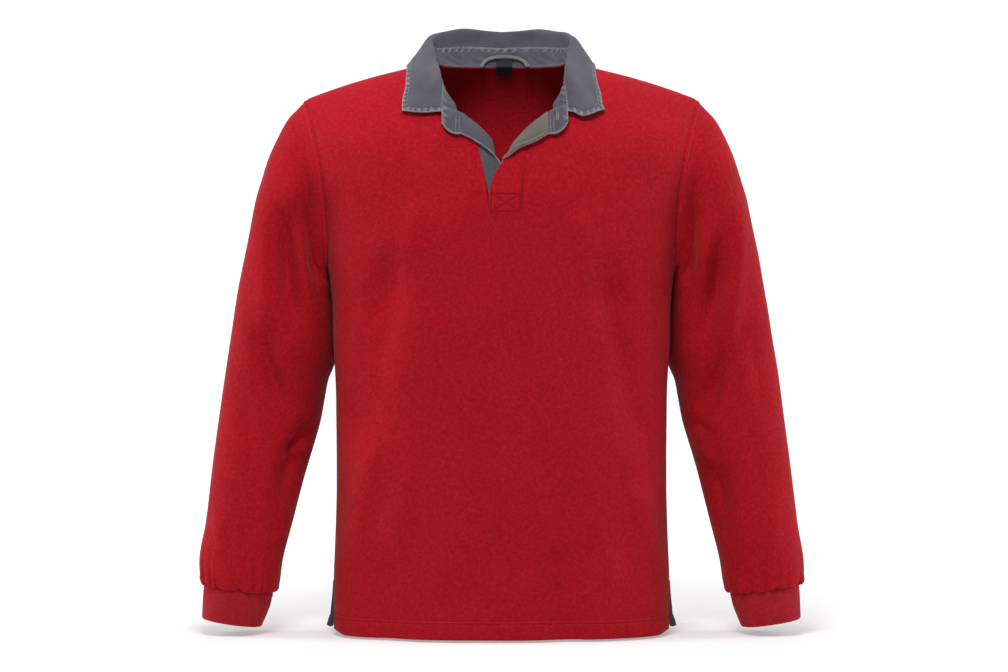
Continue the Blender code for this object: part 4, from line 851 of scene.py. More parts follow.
def shell(name, grid, normal, thick, look, closed=False, edge=None, ragged=()):
    """A closed thin shell round a grid, with distances in metres as its UVs and its edge distances kept.

    ragged names the free edges, where the cloth's thickness rounds off.
    """
    rows, columns = grid.shape[:2]
    half = np.broadcast_to(np.asarray(thick, float) / 2, (rows, columns)).copy()
    top, bottom, left, right = from_edges(grid)
    for side, distance in (("top", top), ("bottom", bottom), ("left", left), ("right", right)):
        if side in ragged:
            near = np.clip(distance / half.max(), 0.0, 1.0)
            half = half * np.maximum(np.sqrt(1 - (1 - near) ** 2), 0.30)
    half = half[..., None]
    points = np.concatenate([(grid + normal * half).reshape(-1, 3), (grid - normal * half).reshape(-1, 3)])
    inside = rows * columns
    index = np.arange(inside).reshape(rows, columns)
    if closed:
        beside = np.roll(index, -1, axis=1)
        a, b = index[:-1], beside[:-1]
        c, d = index[1:], beside[1:]
    else:
        a, b, c, d = index[:-1, :-1], index[:-1, 1:], index[1:, :-1], index[1:, 1:]
    a, b, c, d = (part.ravel() for part in (a, b, c, d))
    faces = [np.stack([a, b, d, c], axis=1), np.stack([a, c, d, b], axis=1) + inside]
    for row, turned in ((0, False), (-1, True)):
        first = index[row] if closed else index[row, :-1]
        second = np.roll(index[row], -1) if closed else index[row, 1:]
        order = (first, second, second + inside, first + inside) if turned else (
            first, first + inside, second + inside, second)
        faces.append(np.stack(order, axis=1))
    if not closed:
        for column, turned in ((0, True), (-1, False)):
            first, second = index[:-1, column], index[1:, column]
            order = (first, second, second + inside, first + inside) if turned else (
                first, first + inside, second + inside, second)
            faces.append(np.stack(order, axis=1))
    faces = np.concatenate(faces)
    corner = points[faces]
    volume = np.sum(corner[:, 0] * np.cross(corner[:, 1], corner[:, 2]))
    volume += np.sum(corner[:, 0] * np.cross(corner[:, 2], corner[:, 3]))
    if volume < 0:
        faces = faces[:, [0, 3, 2, 1]]
    mesh = bpy.data.meshes.new(name)
    mesh.from_pydata(points.tolist(), [], faces.tolist())
    layer = mesh.uv_layers.new(name="cloth")
    across, down = np.tile(left.ravel(), 2), np.tile(top.ravel(), 2)
    loops = np.zeros(len(mesh.loops), int)
    mesh.loops.foreach_get("vertex_index", loops)
    layer.data.foreach_set("uv", np.stack([across[loops], down[loops]], axis=1).ravel().astype(np.float32))
    if edge is not None:
        kept = mesh.attributes.new("edge", "FLOAT", "POINT")
        kept.data.foreach_set("value", np.tile(edge.ravel(), 2).astype(np.float32))
    return keep(name, mesh, look)


def keep(name, mesh, look):
    """Links a mesh as a piece that rides on the garment."""
    mesh.shade_smooth()
    mesh.set_sharp_from_angle(angle=1.05)
    mesh.materials.append(look)
    made = bpy.data.objects.new(name, mesh)
    bpy.context.scene.collection.objects.link(made)
    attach(made, "root")
    return made


def stitches(name, lines, look, pitch=STITCH_PITCH, length=STITCH_LENGTH, radius=STITCH_RADIUS):
    """Sewn stitches along lines of (points, directions): short threads whose ends dive into the cloth."""
    points, faces = [], []
    stations = np.array([-0.36, 0.0, 0.36])
    for line, ways in lines:
        measure = lengths(line, 0)
        count = int(measure[-1] / pitch)
        if count < 1:
            continue
        for number in range(count):
            middle = (number + 0.5) * measure[-1] / count + chance.normal(0.0, 0.0001)
            ends = np.clip([middle - length / 2, middle + length / 2], 0.0, measure[-1])
            centre = read(line, measure, middle)
            first, second = (read(line, measure, end) for end in ends)
            way = read(ways, measure, middle)
            way /= np.linalg.norm(way)
            along = unit(second - first)
            side = unit(np.cross(along, way))
            start = len(points)
            points.append(centre - along * length / 2 - way * radius * 0.6)
            for station in stations:
                full = 1.0 if station == 0 else 0.82
                core = centre + along * length * station + way * radius * (0.45 if station == 0 else 0.15)
                for turn in range(5):
                    angle = 2 * np.pi * turn / 5
                    points.append(core + (side * np.cos(angle) + way * np.sin(angle) * 0.8) * radius * full)
            points.append(centre + along * length / 2 - way * radius * 0.6)
            for turn in range(5):
                beside = (turn + 1) % 5
                faces.append((start, start + 1 + turn, start + 1 + beside))
                for ring in (0, 5):
                    one, two = start + 1 + ring + turn, start + 1 + ring + beside
                    faces.append((one, one + 5, two + 5, two))
                faces.append((start + 16, start + 11 + beside, start + 11 + turn))
    mesh = bpy.data.meshes.new(name)
    mesh.from_pydata([tuple(point) for point in points], [], faces)
    mesh.validate()
    return keep(name, mesh, look)


def on_rows(grid, normal, lift, measure, distance):
    """The line at a distance down each column of a grid, a little out of the cloth."""
    points, ways = [], []
    for column in range(grid.shape[1]):
        way = unit(read(normal[:, column], measure[:, column], distance))
        points.append(read(grid[:, column], measure[:, column], distance) + way * lift)
        ways.append(way)
    return np.array(points), np.array(ways)


def on_columns(grid, normal, lift, measure, distance):
    """The line at a distance across each row of a grid."""
    turned = (grid.transpose(1, 0, 2), normal.transpose(1, 0, 2))
    return on_rows(*turned, lift, measure.T, distance)


def turned_share(even, at):
    """Column shares between the table's, evenly round the body's curve."""
    turn = np.sign(even) * np.arcsin(np.clip(np.abs(even), 0.0, 1.0) ** (BODY_SQUARENESS / 2))
    cell = np.clip(np.floor(at).astype(int), 0, len(even) - 2)
    part = at - cell
    turn = turn[cell] * (1 - part) + turn[cell + 1] * part
    return np.sign(turn) * np.sin(np.abs(turn)) ** (2 / BODY_SQUARENESS)


def fine_panel(face, top, columns):
    """A panel's middle surface, cut finely, closest at its seams and hem, with directions square to it."""
    even = np.array(columns)
    even = np.concatenate([-even[::-1], even[1:] if even[0] == 0 else even])
    top_share = top[:, 0] / panel_edge(top[:, 1], face)
    corner = top[:, 1] == SLIT_END_Z
    even[corner] = top_share[corner]
    last = len(top) - 1
    at = dense(last, PANEL_STEPS_PER_COLUMN, END_PLACES)
    on_shoulder = (at <= SHOULDER_STEPS) | (at >= last - SHOULDER_STEPS)
    even = turned_share(even, at)
    top = straight(top, at)
    top[on_shoulder, 1] = shoulder_line(top[on_shoulder, 0])
    top_share = top[:, 0] / panel_edge(top[:, 1], face)
    top_share[[0, -1]] = (-1.0, 1.0)
    steps = np.concatenate([[0.0, 0.003, 0.008, 0.015, 0.024, 0.035], np.linspace(0.048, 1.0, ARMHOLE_ROWS)])
    round_rows = (1 - np.cos(np.pi * steps)) / 2
    shoulder_rows = 1 - np.cos(np.pi / 2 * steps)
    from_neck = np.hypot(np.abs(top[:, :1]) - NECK_SIDE_X, top[:, 1:] - shoulder_line(NECK_SIDE_X))
    evenness = np.where(on_shoulder[:, None], 0.0, np.clip(from_neck / 0.060, 0.0, 1.0))
    inner_rows = shoulder_rows + (steps - shoulder_rows) * evenness
    edge_weight = (np.abs(even) ** 8)[:, None]
    rows = inner_rows * (1 - edge_weight) + round_rows * edge_weight
    z = top[:, 1:] + (ARMPIT_Z - top[:, 1:]) * rows
    tip_z = shoulder_line(SHOULDER_TIP_X)
    z[[0, -1]] = tip_z + (ARMPIT_Z - tip_z) * round_rows
    side_rows = np.arange(ARMPIT_Z, VENT_TOP_Z, -LOWER_ROW_STEP)[1:]
    vent_rows = np.linspace(VENT_TOP_Z, HEM_FOLD_Z + 0.010, 9)
    hem_rows = np.linspace(HEM_FOLD_Z + 0.010, HEM_Z, 21)[1:]
    lower = np.tile(np.concatenate([side_rows, vent_rows, hem_rows]), (len(at), 1))
    rise = 0.0040 * ease((np.abs(even) - 0.93) / 0.07)[:, None]
    lower += rise * ease((HEM_FOLD_Z + 0.006 - lower) / (HEM_FOLD_Z + 0.006 - HEM_Z))
    z = np.concatenate([z, lower], axis=1)
    length = (top[:, 1:] - z) / (top[:, 1:] - HEM_Z)
    share = top_share[:, None] + (even - top_share)[:, None] * (1 - (1 - length) ** 9)
    share[[0, -1]] = [[-1.0], [1.0]]
    x = share * panel_edge(z, face)
    middle = trunk_point(x, z, face)
    on_seam = (np.abs(share) == 1.0) & (z <= ARMPIT_Z) & (z >= VENT_TOP_Z - 1e-6)
    on_seam[:, 0] |= on_shoulder
    middle[on_seam, 1] = 0.0
    grid = np.ascontiguousarray(middle.transpose(1, 0, 2))
    seam = on_seam.T
    ways = square_to(grid, False)
    ways *= np.sign(np.sum(ways[len(ways) // 2, len(at) // 2] * (0.0, face, 0.0)))
    ways[seam, 1] = 0.0
    ways = unit(ways)
    return grid, ways, seam, on_shoulder


def groove(distance, depth=0.0008, width=0.0020):
    """Height of a pressed line at a distance from it."""
    return -depth * bell(distance, width)


def wander(x, z, seed):
    """Slow unevenness of hanging cloth, within about 1."""
    total = np.zeros(np.shape(x))
    waves = np.random.default_rng(seed)
    for _ in range(9):
        way = waves.uniform(0, 2 * np.pi)
        wave = waves.uniform(40.0, 110.0)
        total += np.sin(wave * (x * np.cos(way) + z * np.sin(way) * 0.7) + waves.uniform(0, 6.3))
    return total / 5.0


def make_panel(face, name, top, columns):
    """A body panel: seams drawn in, hem doubled and slightly puckered by its twin stitches."""
    grid, ways, seam, on_shoulder = fine_panel(face, top, columns)
    down, _, left, right = from_edges(grid)
    side = np.minimum(left, right)
    x, z = grid[..., 0], grid[..., 2]
    free = ease(side / 0.030) * ease(down / 0.030)
    height = 0.0007 * wander(x, z, 3 + face) * free
    height += groove(side, 0.0009) * (z > VENT_TOP_Z - 0.002)
    height += np.where(on_shoulder[None], groove(down, 0.0008), 0.0)
    height += np.where(on_shoulder[None], 0.0005 * bell(down - 0.0045, 0.0022), 0.0)
    hem = HEM_FOLD_Z
    pucker = np.sin(410 * x + 2.0 * np.sin(37 * x)) * np.sin(93 * x + 1.0)
    height += 0.00045 * pucker * bell(z - hem, 0.0085) * ease(side / 0.020)
    for offset, depth, width in zip(HEM_STITCH_LINES, (0.0012, 0.0006), (0.0013, 0.0010)):
        height -= depth * bell(z - hem - offset, width)
    vent = (z < VENT_TOP_Z) * bell(side - VENT_STITCH_LINE, 0.0012)
    height -= 0.0005 * vent
    grid = grid + ways * height[..., None]
    outside = square_to(grid, False)
    outside *= np.sign(np.sum(outside[len(grid) // 2, grid.shape[1] // 2] * (0.0, face, 0.0)))
    ways = np.where(seam[..., None], ways, outside)
    thick = FLEECE + (HEM_FLEECE - FLEECE) * ease((hem + 0.0016 - z) / 0.0016)
    made = shell(name, grid, ways, thick, FLEECE_LOOK, ragged=("bottom",))
    lift = FLEECE / 2
    lines = [on_rows(grid, ways, lift + 0.0001, z * -1, -hem - offset) for offset in HEM_STITCH_LINES]
    reach = slice(2, -2)
    lines = [(points[reach], square[reach]) for points, square in lines]
    below = z[:, 0] < VENT_TOP_Z - 0.001
    above_hem = below & (z[:, 0] > hem + 0.0050)
    for measure in (left, right):
        lines.append(on_columns(grid[above_hem], ways[above_hem], lift, measure[above_hem], VENT_STITCH_LINE))
    stitches(name + "_stitches", lines, RED_THREAD)
    return made, grid, ways


def fine_sleeve(side):
    """A sleeve's middle surface with all its folds, its seam ridge and its gathers."""
    turn = np.linspace(0.0, 2 * np.pi, SLEEVE_COLUMNS, endpoint=False)
    close = np.array([0.0, 0.0016, 0.0036, 0.0062, 0.0095, 0.0130, 0.0165, 0.0200])
    places = np.concatenate([close, np.linspace(0.025, 0.985, SLEEVE_ROWS), 1 - close[3::-1] * 1.6])
    place, around = np.meshgrid(places, turn, indexing="ij")
    middle = sleeve_base(place, around, side)
    cap = armhole_ring(turn, side) - middle[0]
    middle += cap * (1 - ease(place / CAP_BLEND))[..., None]
    cuff_top = cuff_middle(np.zeros(len(turn)), turn, side)
    middle += (cuff_top - middle[-1]) * ease((place - 0.93) / 0.07)[..., None]
    normal = outward(middle, square_to(middle, True))
    height = np.zeros(place.shape)
    for face in (-1, 1):
        toward = np.clip(face * normal[..., 1] * 1.6, 0.0, 1.0)
        folds = SLEEVE_FOLDS + SLEEVE_CREASES
        height += FOLD_GAIN * toward * long_folds(folds, middle[..., 0], middle[..., 2], face)
    free = ease(place / 0.10) * ease((1 - place) / 0.06)
    height = height * free + 0.0006 * free * wander(middle[..., 0] + middle[..., 1], middle[..., 2], 7 + side)
    from_cuff = lengths(middle, 0)[-1:] - lengths(middle, 0)
    twist = around + 0.16 * np.sin(3 * around + side) + 0.10 * np.sin(5 * around + 2.0)
    tuck = 0.62 * np.cos(15 * twist) + 0.38 * np.cos(26 * twist + 1.3 + side)
    uneven = 0.62 + 0.38 * np.sin(4 * around + 1.1 * side)
    fade = np.exp(-((from_cuff / (0.020 + 0.014 * uneven)) ** 1.5)) * ease(from_cuff / 0.0045)
    pinch = np.sin(11 * around + 2.3 * np.sin(2 * around + side) + 0.6)
    pinch = np.maximum(pinch, 0.0) ** 5 * bell(from_cuff, 0.011) * ease(from_cuff / 0.002)
    height += 0.0031 * tuck * uneven * fade - 0.0042 * pinch
    inward = np.maximum(-side * normal[..., 0], 0.0) ** 2
    height += 0.0034 * inward * bell(middle[..., 2] + 0.279, 0.012)
    bulge = 0.0020 * bell(from_cuff - 0.006, 0.0048)
    height += bulge + groove(from_cuff, 0.0012, 0.0018)
    middle += normal * height[..., None]
    from_seam = lengths(middle, 0)
    ridge = groove(from_seam, 0.0010, 0.0014) + 0.0007 * bell(from_seam - 0.0038, 0.0022)
    ridge -= 0.0005 * bell(from_seam - SLEEVE_STITCH_LINE, 0.0010)
    middle += normal * ridge[..., None]
    return middle, outward(middle, square_to(middle, True))


def outward(grid, ways):
    """Turns ring directions away from each ring's middle."""
    centre = grid.mean(axis=1, keepdims=True)
    return ways * np.sign(np.sum(np.sum(ways * (grid - centre), axis=-1)))


def wrap(points, ways):
    """A line closed round a ring."""
    return np.concatenate([points, points[:1]]), np.concatenate([ways, ways[:1]])


def make_sleeve(side, hand):
    """A sleeve with the stitches beside its armhole seam."""
    grid, ways = fine_sleeve(side)
    made = shell(f"sleeve_{hand}_cloth", grid, ways, FLEECE, FLEECE_LOOK, closed=True)
    line = wrap(*on_rows(grid, ways, FLEECE / 2, lengths(grid, 0), SLEEVE_STITCH_LINE))
    stitches(f"sleeve_{hand}_stitches", [line], RED_THREAD)
    return made


def make_cuff(side, hand):
    """A cuff: doubled cloth with a rounded end, drawn in a little by the gathers above it."""
    turn = np.linspace(0.0, 2 * np.pi, SLEEVE_COLUMNS, endpoint=False)
    places = np.concatenate([[0.0, 0.02, 0.05, 0.09], np.linspace(0.14, 0.94, CUFF_ROWS),
                             [0.960, 0.976, 0.988, 0.996, 1.0]])
    place, around = np.meshgrid(places, turn, indexing="ij")
    grid = cuff_middle(place, around, side)
    ways = outward(grid, square_to(grid, True))
    down = lengths(grid, 0)
    tuck = np.cos(17 * around + 1.5 * np.sin(2 * around)) * (0.6 + 0.4 * np.sin(3 * around + side))
    height = 0.0006 * tuck * np.exp(-down / 0.012) * ease(down / 0.002)
    height += groove(down, 0.0010, 0.0014) + 0.0004 * wander(grid[..., 0] * 2, grid[..., 2], 21 + side)
    height += 0.0005 * bell(down - 0.0042, 0.0020)
    seam = (around - 0.80 * np.pi) * 0.042
    height += 0.0005 * bell(seam, 0.0030) - 0.0011 * bell(seam, 0.0011)
    grid = grid + ways * height[..., None]
    ways = outward(grid, square_to(grid, True))
    return shell(f"cuff_{hand}_cloth", grid, ways, FLEECE + 0.0004, CUFF_LOOK, closed=True,
                 ragged=("bottom",))


# How the worn collar strays from its plain form: section, change of the roll's height at the left and right.
ROLL_WAVES = (
    (0.0, -0.0013, -0.0013),
    (1.0, 0.0033, 0.0020),
    (2.0, 0.0000, 0.0006),
    (2.6, -0.0030, -0.0032),
    (3.0, -0.0036, -0.0042),
    (4.0, -0.0010, -0.0012),
    (5.0, 0.0000, 0.0000),
)
# The front end of each leaf: share from the roll to the tip, change of height at the left, at the right.
END_WAVES = (
    (0.00, 0.0000, 0.0010),
    (0.15, 0.0000, -0.0010),
    (0.38, -0.0006, -0.0056),
    (0.62, -0.0006, -0.0030),
    (0.85, 0.0000, 0.0010),
    (1.00, 0.0006, 0.0022),
)


def fine_neck(side):
    """One side's neck columns, cut finely."""
    at = np.linspace(0.0, LAST_SECTION, LAST_SECTION * NECK_STEPS + 1)
    columns = neck_columns(side)
    whole = through(columns, at)
    wave = smooth(ROLL_WAVES, at)[:, 0 if side < 0 else 1]
    whole[:, 3, 2] += wave
    whole[:, 2, 2] += 0.35 * wave
    whole[:, 4, 2] += 0.45 * wave
    end_step = (FALL_END_SECTION - 1) * NECK_STEPS
    tips = straight(columns[FALL_END_SECTION - 1:], at[end_step:] - (FALL_END_SECTION - 1))
    whole[end_step:, 5] = tips[:, 5]
    slit_step = SLIT_TOP_SECTION * NECK_STEPS
    turned = straight(columns[SLIT_TOP_SECTION:], at[slit_step:] - SLIT_TOP_SECTION)
    whole[slit_step:, 0] = turned[:, 0]
    places = straight(FOOT_ROWS, at[:slit_step + 1])
    places[:, 0] = (places[:, 0] + spread(at[:slit_step + 1], side, 0)) * side
    joint = 3 * NECK_STEPS
    whole[:joint, 0] = trunk_point(*places[:joint].T, 1)
    whole[joint:slit_step + 1, 0] = trunk_point(*places[joint:].T, -1)
    whole[joint, 0, 1] = 0.0
    return whole


def fine_fall(top, roll, middle, edge):
    """Points of the fall from the stand's top over the roll to the free edge, cut finely."""
    rise = np.linalg.norm(roll - top, axis=-1, keepdims=True)
    drop = np.linalg.norm(middle - roll, axis=-1, keepdims=True)
    over = unit(middle - top)
    before = over * np.minimum(np.sqrt(6 * ROLL_RADIUS * rise), 1.1 * rise)
    after = over * np.minimum(np.sqrt(6 * ROLL_RADIUS * drop), 1.1 * drop)
    level = unit(edge - roll)
    end = np.linalg.norm(edge - middle, axis=-1, keepdims=True)
    columns = [hermite(top, roll, roll - top, before, part) for part in np.linspace(0, 1, 12)[:-1]]
    parts = np.linspace(0, 1, 17)[:-1] ** 1.35
    columns += [hermite(roll, middle, after, level * drop, part) for part in parts]
    parts = 1 - np.linspace(1, 0, 15) ** 1.4
    columns += [hermite(middle, edge, level * end, edge - middle, part) for part in parts]
    return np.stack(columns, axis=1)


def make_collar():
    """Stand and fall as two shells that meet along the stand's top, with their topstitching."""
    left, right = fine_neck(-1), fine_neck(1)
    whole = np.concatenate([left[::-1], right[1:]])
    stand = quadratic(whole[:, 0], whole[:, 1], whole[:, 2], STAND_COLUMNS)
    trim = (LAST_SECTION - FALL_END_SECTION) * NECK_STEPS
    fall = fine_fall(*whole[trim:-trim, 2:].transpose(1, 0, 2))
    ways = square_to(stand, False)
    ways *= np.sign(ways[len(stand) // 2, STAND_COLUMNS // 2, 1])
    top, bottom, seam, free = from_edges(stand)
    ends = np.minimum(top, bottom)
    held = ease(ends / 0.006)
    pucker = np.sin(560 * top + 3.4 * np.sin(47 * top)) * (0.55 + 0.45 * np.sin(83 * top + 1.0))
    height = 0.0010 * pucker * bell(free - 0.0045, 0.0040) * held
    height += 0.00035 * np.sin(640 * top + 2.0) * bell(seam, 0.0045) * ease(seam / 0.0015) * held
    crease = np.sin(230 * top + 420 * seam) * np.sin(71 * top + 0.7)
    height += 0.0006 * crease * ease(seam / 0.006) * ease(free / 0.006) * held
    for place, way, half, rise in ((bottom, 0.030, 0.0026, -0.0010), (bottom, 0.037, 0.0022, 0.0009),
                                   (bottom, 0.044, 0.0024, -0.0008), (top, 0.034, 0.0026, 0.0008)):
        height += rise * bell(place - way + 0.35 * (seam - 0.008), half) * ease(free / 0.004)
    stand = stand + ways * height[..., None]
    crest = bell(free - 0.0042, 0.0030) * ease(0.5 - pucker)
    rubbed = np.minimum(ends, np.where(free < 0.0015, 0.0012, 0.0036 - 0.0022 * crest))
    shell("stand_cloth", stand, ways, CANVAS, CANVAS_LOOK, edge=rubbed,
          ragged=("top", "bottom"))
    inner = -CANVAS / 2 - THREAD_PROUD
    middle = slice(trim + 4, -trim - 4)
    lines = [on_columns(stand[middle], ways[middle], inner, free[middle], STAND_STITCH_LINE)]
    lines += [on_columns(stand[middle], ways[middle], inner, seam[middle], STAND_STITCH_LINE)]
    lines = [(points, -square) for points, square in lines]
    for measure, sign in ((top, 1), (bottom, -1)):
        points, square = on_rows(stand, ways, inner, sign * measure, sign * STAND_STITCH_LINE)
        lines.append((points[1:-1], -square[1:-1]))
    for distance in (0.0026, 0.0070):
        for near in (top, bottom):
            rows = (near[:, 0] > 0.003) & (near[:, 0] < 0.024)
            points, square = on_columns(stand[rows], ways[rows], inner, seam[rows], distance)
            lines.append((points, -square))
    stitches("stand_stitches", lines, GREY_THREAD)
    make_fall(fall)
    return stand, ways


def make_fall(fall):
    """The turned-down leaf: a stiffer band inside its topstitching, and edges that ripple a little."""
    ways = square_to(fall, False)
    centre = len(fall) // 2
    ways *= np.sign(np.sum(ways[centre, -8] * (0.0, 1.0, 0.3)))
    top, bottom, roll, edge = from_edges(fall)
    ends = np.minimum(top, bottom)
    rim = np.minimum(edge, ends)
    height = 0.0004 * bell(rim - 0.0030, 0.0020) - 0.0008 * bell(rim - FALL_STITCH_LINE, 0.0010)
    height += 0.0009 * np.sin(75 * top + 2.2 * np.sin(21 * top)) * bell(edge, 0.011)
    height += 0.0014 * wander(top * 1.3, edge * 2.0, 31) * ease(roll / 0.012)
    run = np.where(edge < ends, top, edge)
    ripple = np.sin(820 * run + 2.0 * np.sin(70 * run)) * (0.65 + 0.35 * np.sin(43 * run))
    corner = ease(np.maximum(edge, ends) / 0.012)
    height += 0.00085 * ripple * bell(rim - 0.0048, 0.0034) * ease(rim / 0.0015)
    height *= corner
    back = ease((np.abs(top - top[-1:] / 2) * -1 + 0.060) / 0.030)
    near_roll = ease(roll / 0.004) * ease((0.022 - roll) / 0.010)
    height += 0.0011 * back * wander(top * 2.2, roll * 3.0, 35) * near_roll
    share = roll / (roll + edge)
    for measure, column in ((top, 0), (bottom, 1)):
        wave = smooth(END_WAVES, share)[..., column] * ease(1 - measure / 0.030)
        fall[..., 2] += wave
        fall[..., 1] += 0.35 * wave
    fall = fall + ways * height[..., None]
    rubbed = np.where(rim < 0.0060, 0.28 * rim + 0.0011 * (1 - ripple) * ease(rim / 0.002), 0.0032 + rim)
    shell("fall_cloth", fall, ways, CANVAS, CANVAS_LOOK, edge=rubbed,
          ragged=("top", "bottom", "right"))
    lift = CANVAS / 2 + THREAD_PROUD
    lines = []
    long_way, square = on_columns(fall, ways, lift, -edge, -FALL_STITCH_LINE)
    keep_rows = ends[:, -1] > FALL_STITCH_LINE
    lines.append((long_way[keep_rows], square[keep_rows]))
    reach = (edge[0] > FALL_STITCH_LINE) & (roll[0] > 0.010)
    for measure, sign in ((top, 1), (bottom, -1)):
        points, square = on_rows(fall, ways, lift, sign * measure, sign * FALL_STITCH_LINE)
        lines.append((points[reach], square[reach]))
    stitches("fall_stitches", lines, GREY_THREAD, pitch=0.0038, length=0.0028, radius=0.00040)


def soften(grid, times):
    """Rounds the corners of a grid's columns, its first and last rows kept."""
    for _ in range(times):
        grid[1:-1] = grid[1:-1] * 0.5 + (grid[2:] + grid[:-2]) * 0.25
    return grid


def fine_placket(table):
    """A placket's middle surface, cut finely both ways."""
    last = len(table) - 1
    rows = soften(straight(np.array(table), np.linspace(0, last, last * PLACKET_STEPS + 1)), 45)
    columns = []
    for places, start, end in ((PLACKET_TO_ROLL, (0, 1, 6), (2, 3, 7)),
                               (((0.00, 0.0), *PLACKET_TO_EDGE), (2, 3, 7), (4, 5, 8))):
        shares = np.array([share for share, _ in places])
        bumps = through(np.array([[bump] for _, bump in places]), np.linspace(0, len(places) - 1, 25))[:, 0]
        at = straight(shares[:, None], np.linspace(0, len(places) - 1, 25))[:, 0]
        first = 1 if columns else 0
        for share, bump in zip(at[first:], bumps[first:]):
            columns.append(placket_column(rows, start, end, share, bump))
    return np.stack(columns, axis=1)


def make_plackets():
    """The under placket, the upper placket with its pressed box, and the facing inside it."""
    under = fine_placket(UNDER_PLACKET)
    ways = square_to(under, False)
    ways *= -np.sign(ways[0, 0, 1])
    free = from_edges(under)[3]
    shell("placket_under_cloth", under, ways, PLACKET_CLOTH, UNDER_LOOK,
          edge=free, ragged=("right",))
    upper = fine_placket(UPPER_PLACKET)
    ways = square_to(upper, False)
    ways *= -np.sign(ways[0, 0, 1])
    _, bottom, seam, free = from_edges(upper)
    height = -0.0010 * bell(seam, 0.0040) * ease((upper[..., 2] + 0.215) / 0.020)
    x, z = upper[..., 0], upper[..., 2]
    low_x, high_x, low_z, high_z = SEWN_BOX
    across = (high_x - low_x, high_z - low_z)
    slope = np.hypot(*across)
    beside = [np.abs(x - low_x), np.abs(x - high_x), np.abs(z - low_z), np.abs(z - high_z)]
    beside.append(np.abs((x - low_x) * across[1] - (z - low_z) * across[0]) / slope)
    beside.append(np.abs((x - low_x) * across[1] + (z - high_z) * across[0]) / slope)
    within = (x > low_x - 0.0012) & (x < high_x + 0.0012) & (z > low_z - 0.0012) & (z < high_z + 0.0012)
    pressed = sum(bell(distance, 0.0011) for distance in beside)
    height -= 0.0013 * np.minimum(pressed, 1.0) * within
    upper = upper + ways * height[..., None]
    shell("placket_upper_cloth", upper, ways, PLACKET_CLOTH + 0.0004, PLACKET_LOOK,
          ragged=("top", "right"))
    depth = (PLACKET_CLOTH + FACING_CLOTH) / 2 + 1.7 * SEAM_GAP
    inner, square, near = (part[2:, 3:] for part in (upper - ways * depth, ways, free))
    fold = 0.0004 * bell(near - 0.0056, 0.0010) - 0.0016 * bell(near - 0.0026, 0.0016)
    inner = inner + square * fold[..., None] * ease((bottom[2:, 3:] - 0.004) / 0.006)[..., None]
    shell("placket_facing_cloth", inner, square, FACING_CLOTH, FACING_LOOK,
          edge=near, ragged=("right",))


def box_stitches():
    """The stitched box with its cross at the placket's foot, and the line up the placket's seam."""
    left, right, low, high = SEWN_BOX
    lines = []
    corners = ((left, low), (right, low), (right, high), (left, high))
    for first, last in ((0, 1), (1, 2), (2, 3), (3, 0), (0, 2), (3, 1)):
        start, end = corners[first], corners[last]
        share = np.linspace(0.0, 1.0, 24)
        x = start[0] + (end[0] - start[0]) * share
        z = start[1] + (end[1] - start[1]) * share
        lines.append((trunk_point(x, z, -1, 0.0012 + PLACKET_CLOTH / 2 - 0.0003), trunk_normal(x, z, -1)))
    share = np.linspace(0.0, 1.0, 30)
    x = right + 0.0050 * share
    z = high + (-0.1290 - high) * share
    lines.append((trunk_point(x, z, -1, 0.0012 + PLACKET_CLOTH / 2), trunk_normal(x, z, -1)))
    # Their thread is partly its own dark red and partly painted shade of the pressed lines.
    stitches("placket_stitches", lines, DARK_THREAD_AND_GROOVE_SHADE, pitch=0.0028, length=0.0021,
             radius=0.00028)


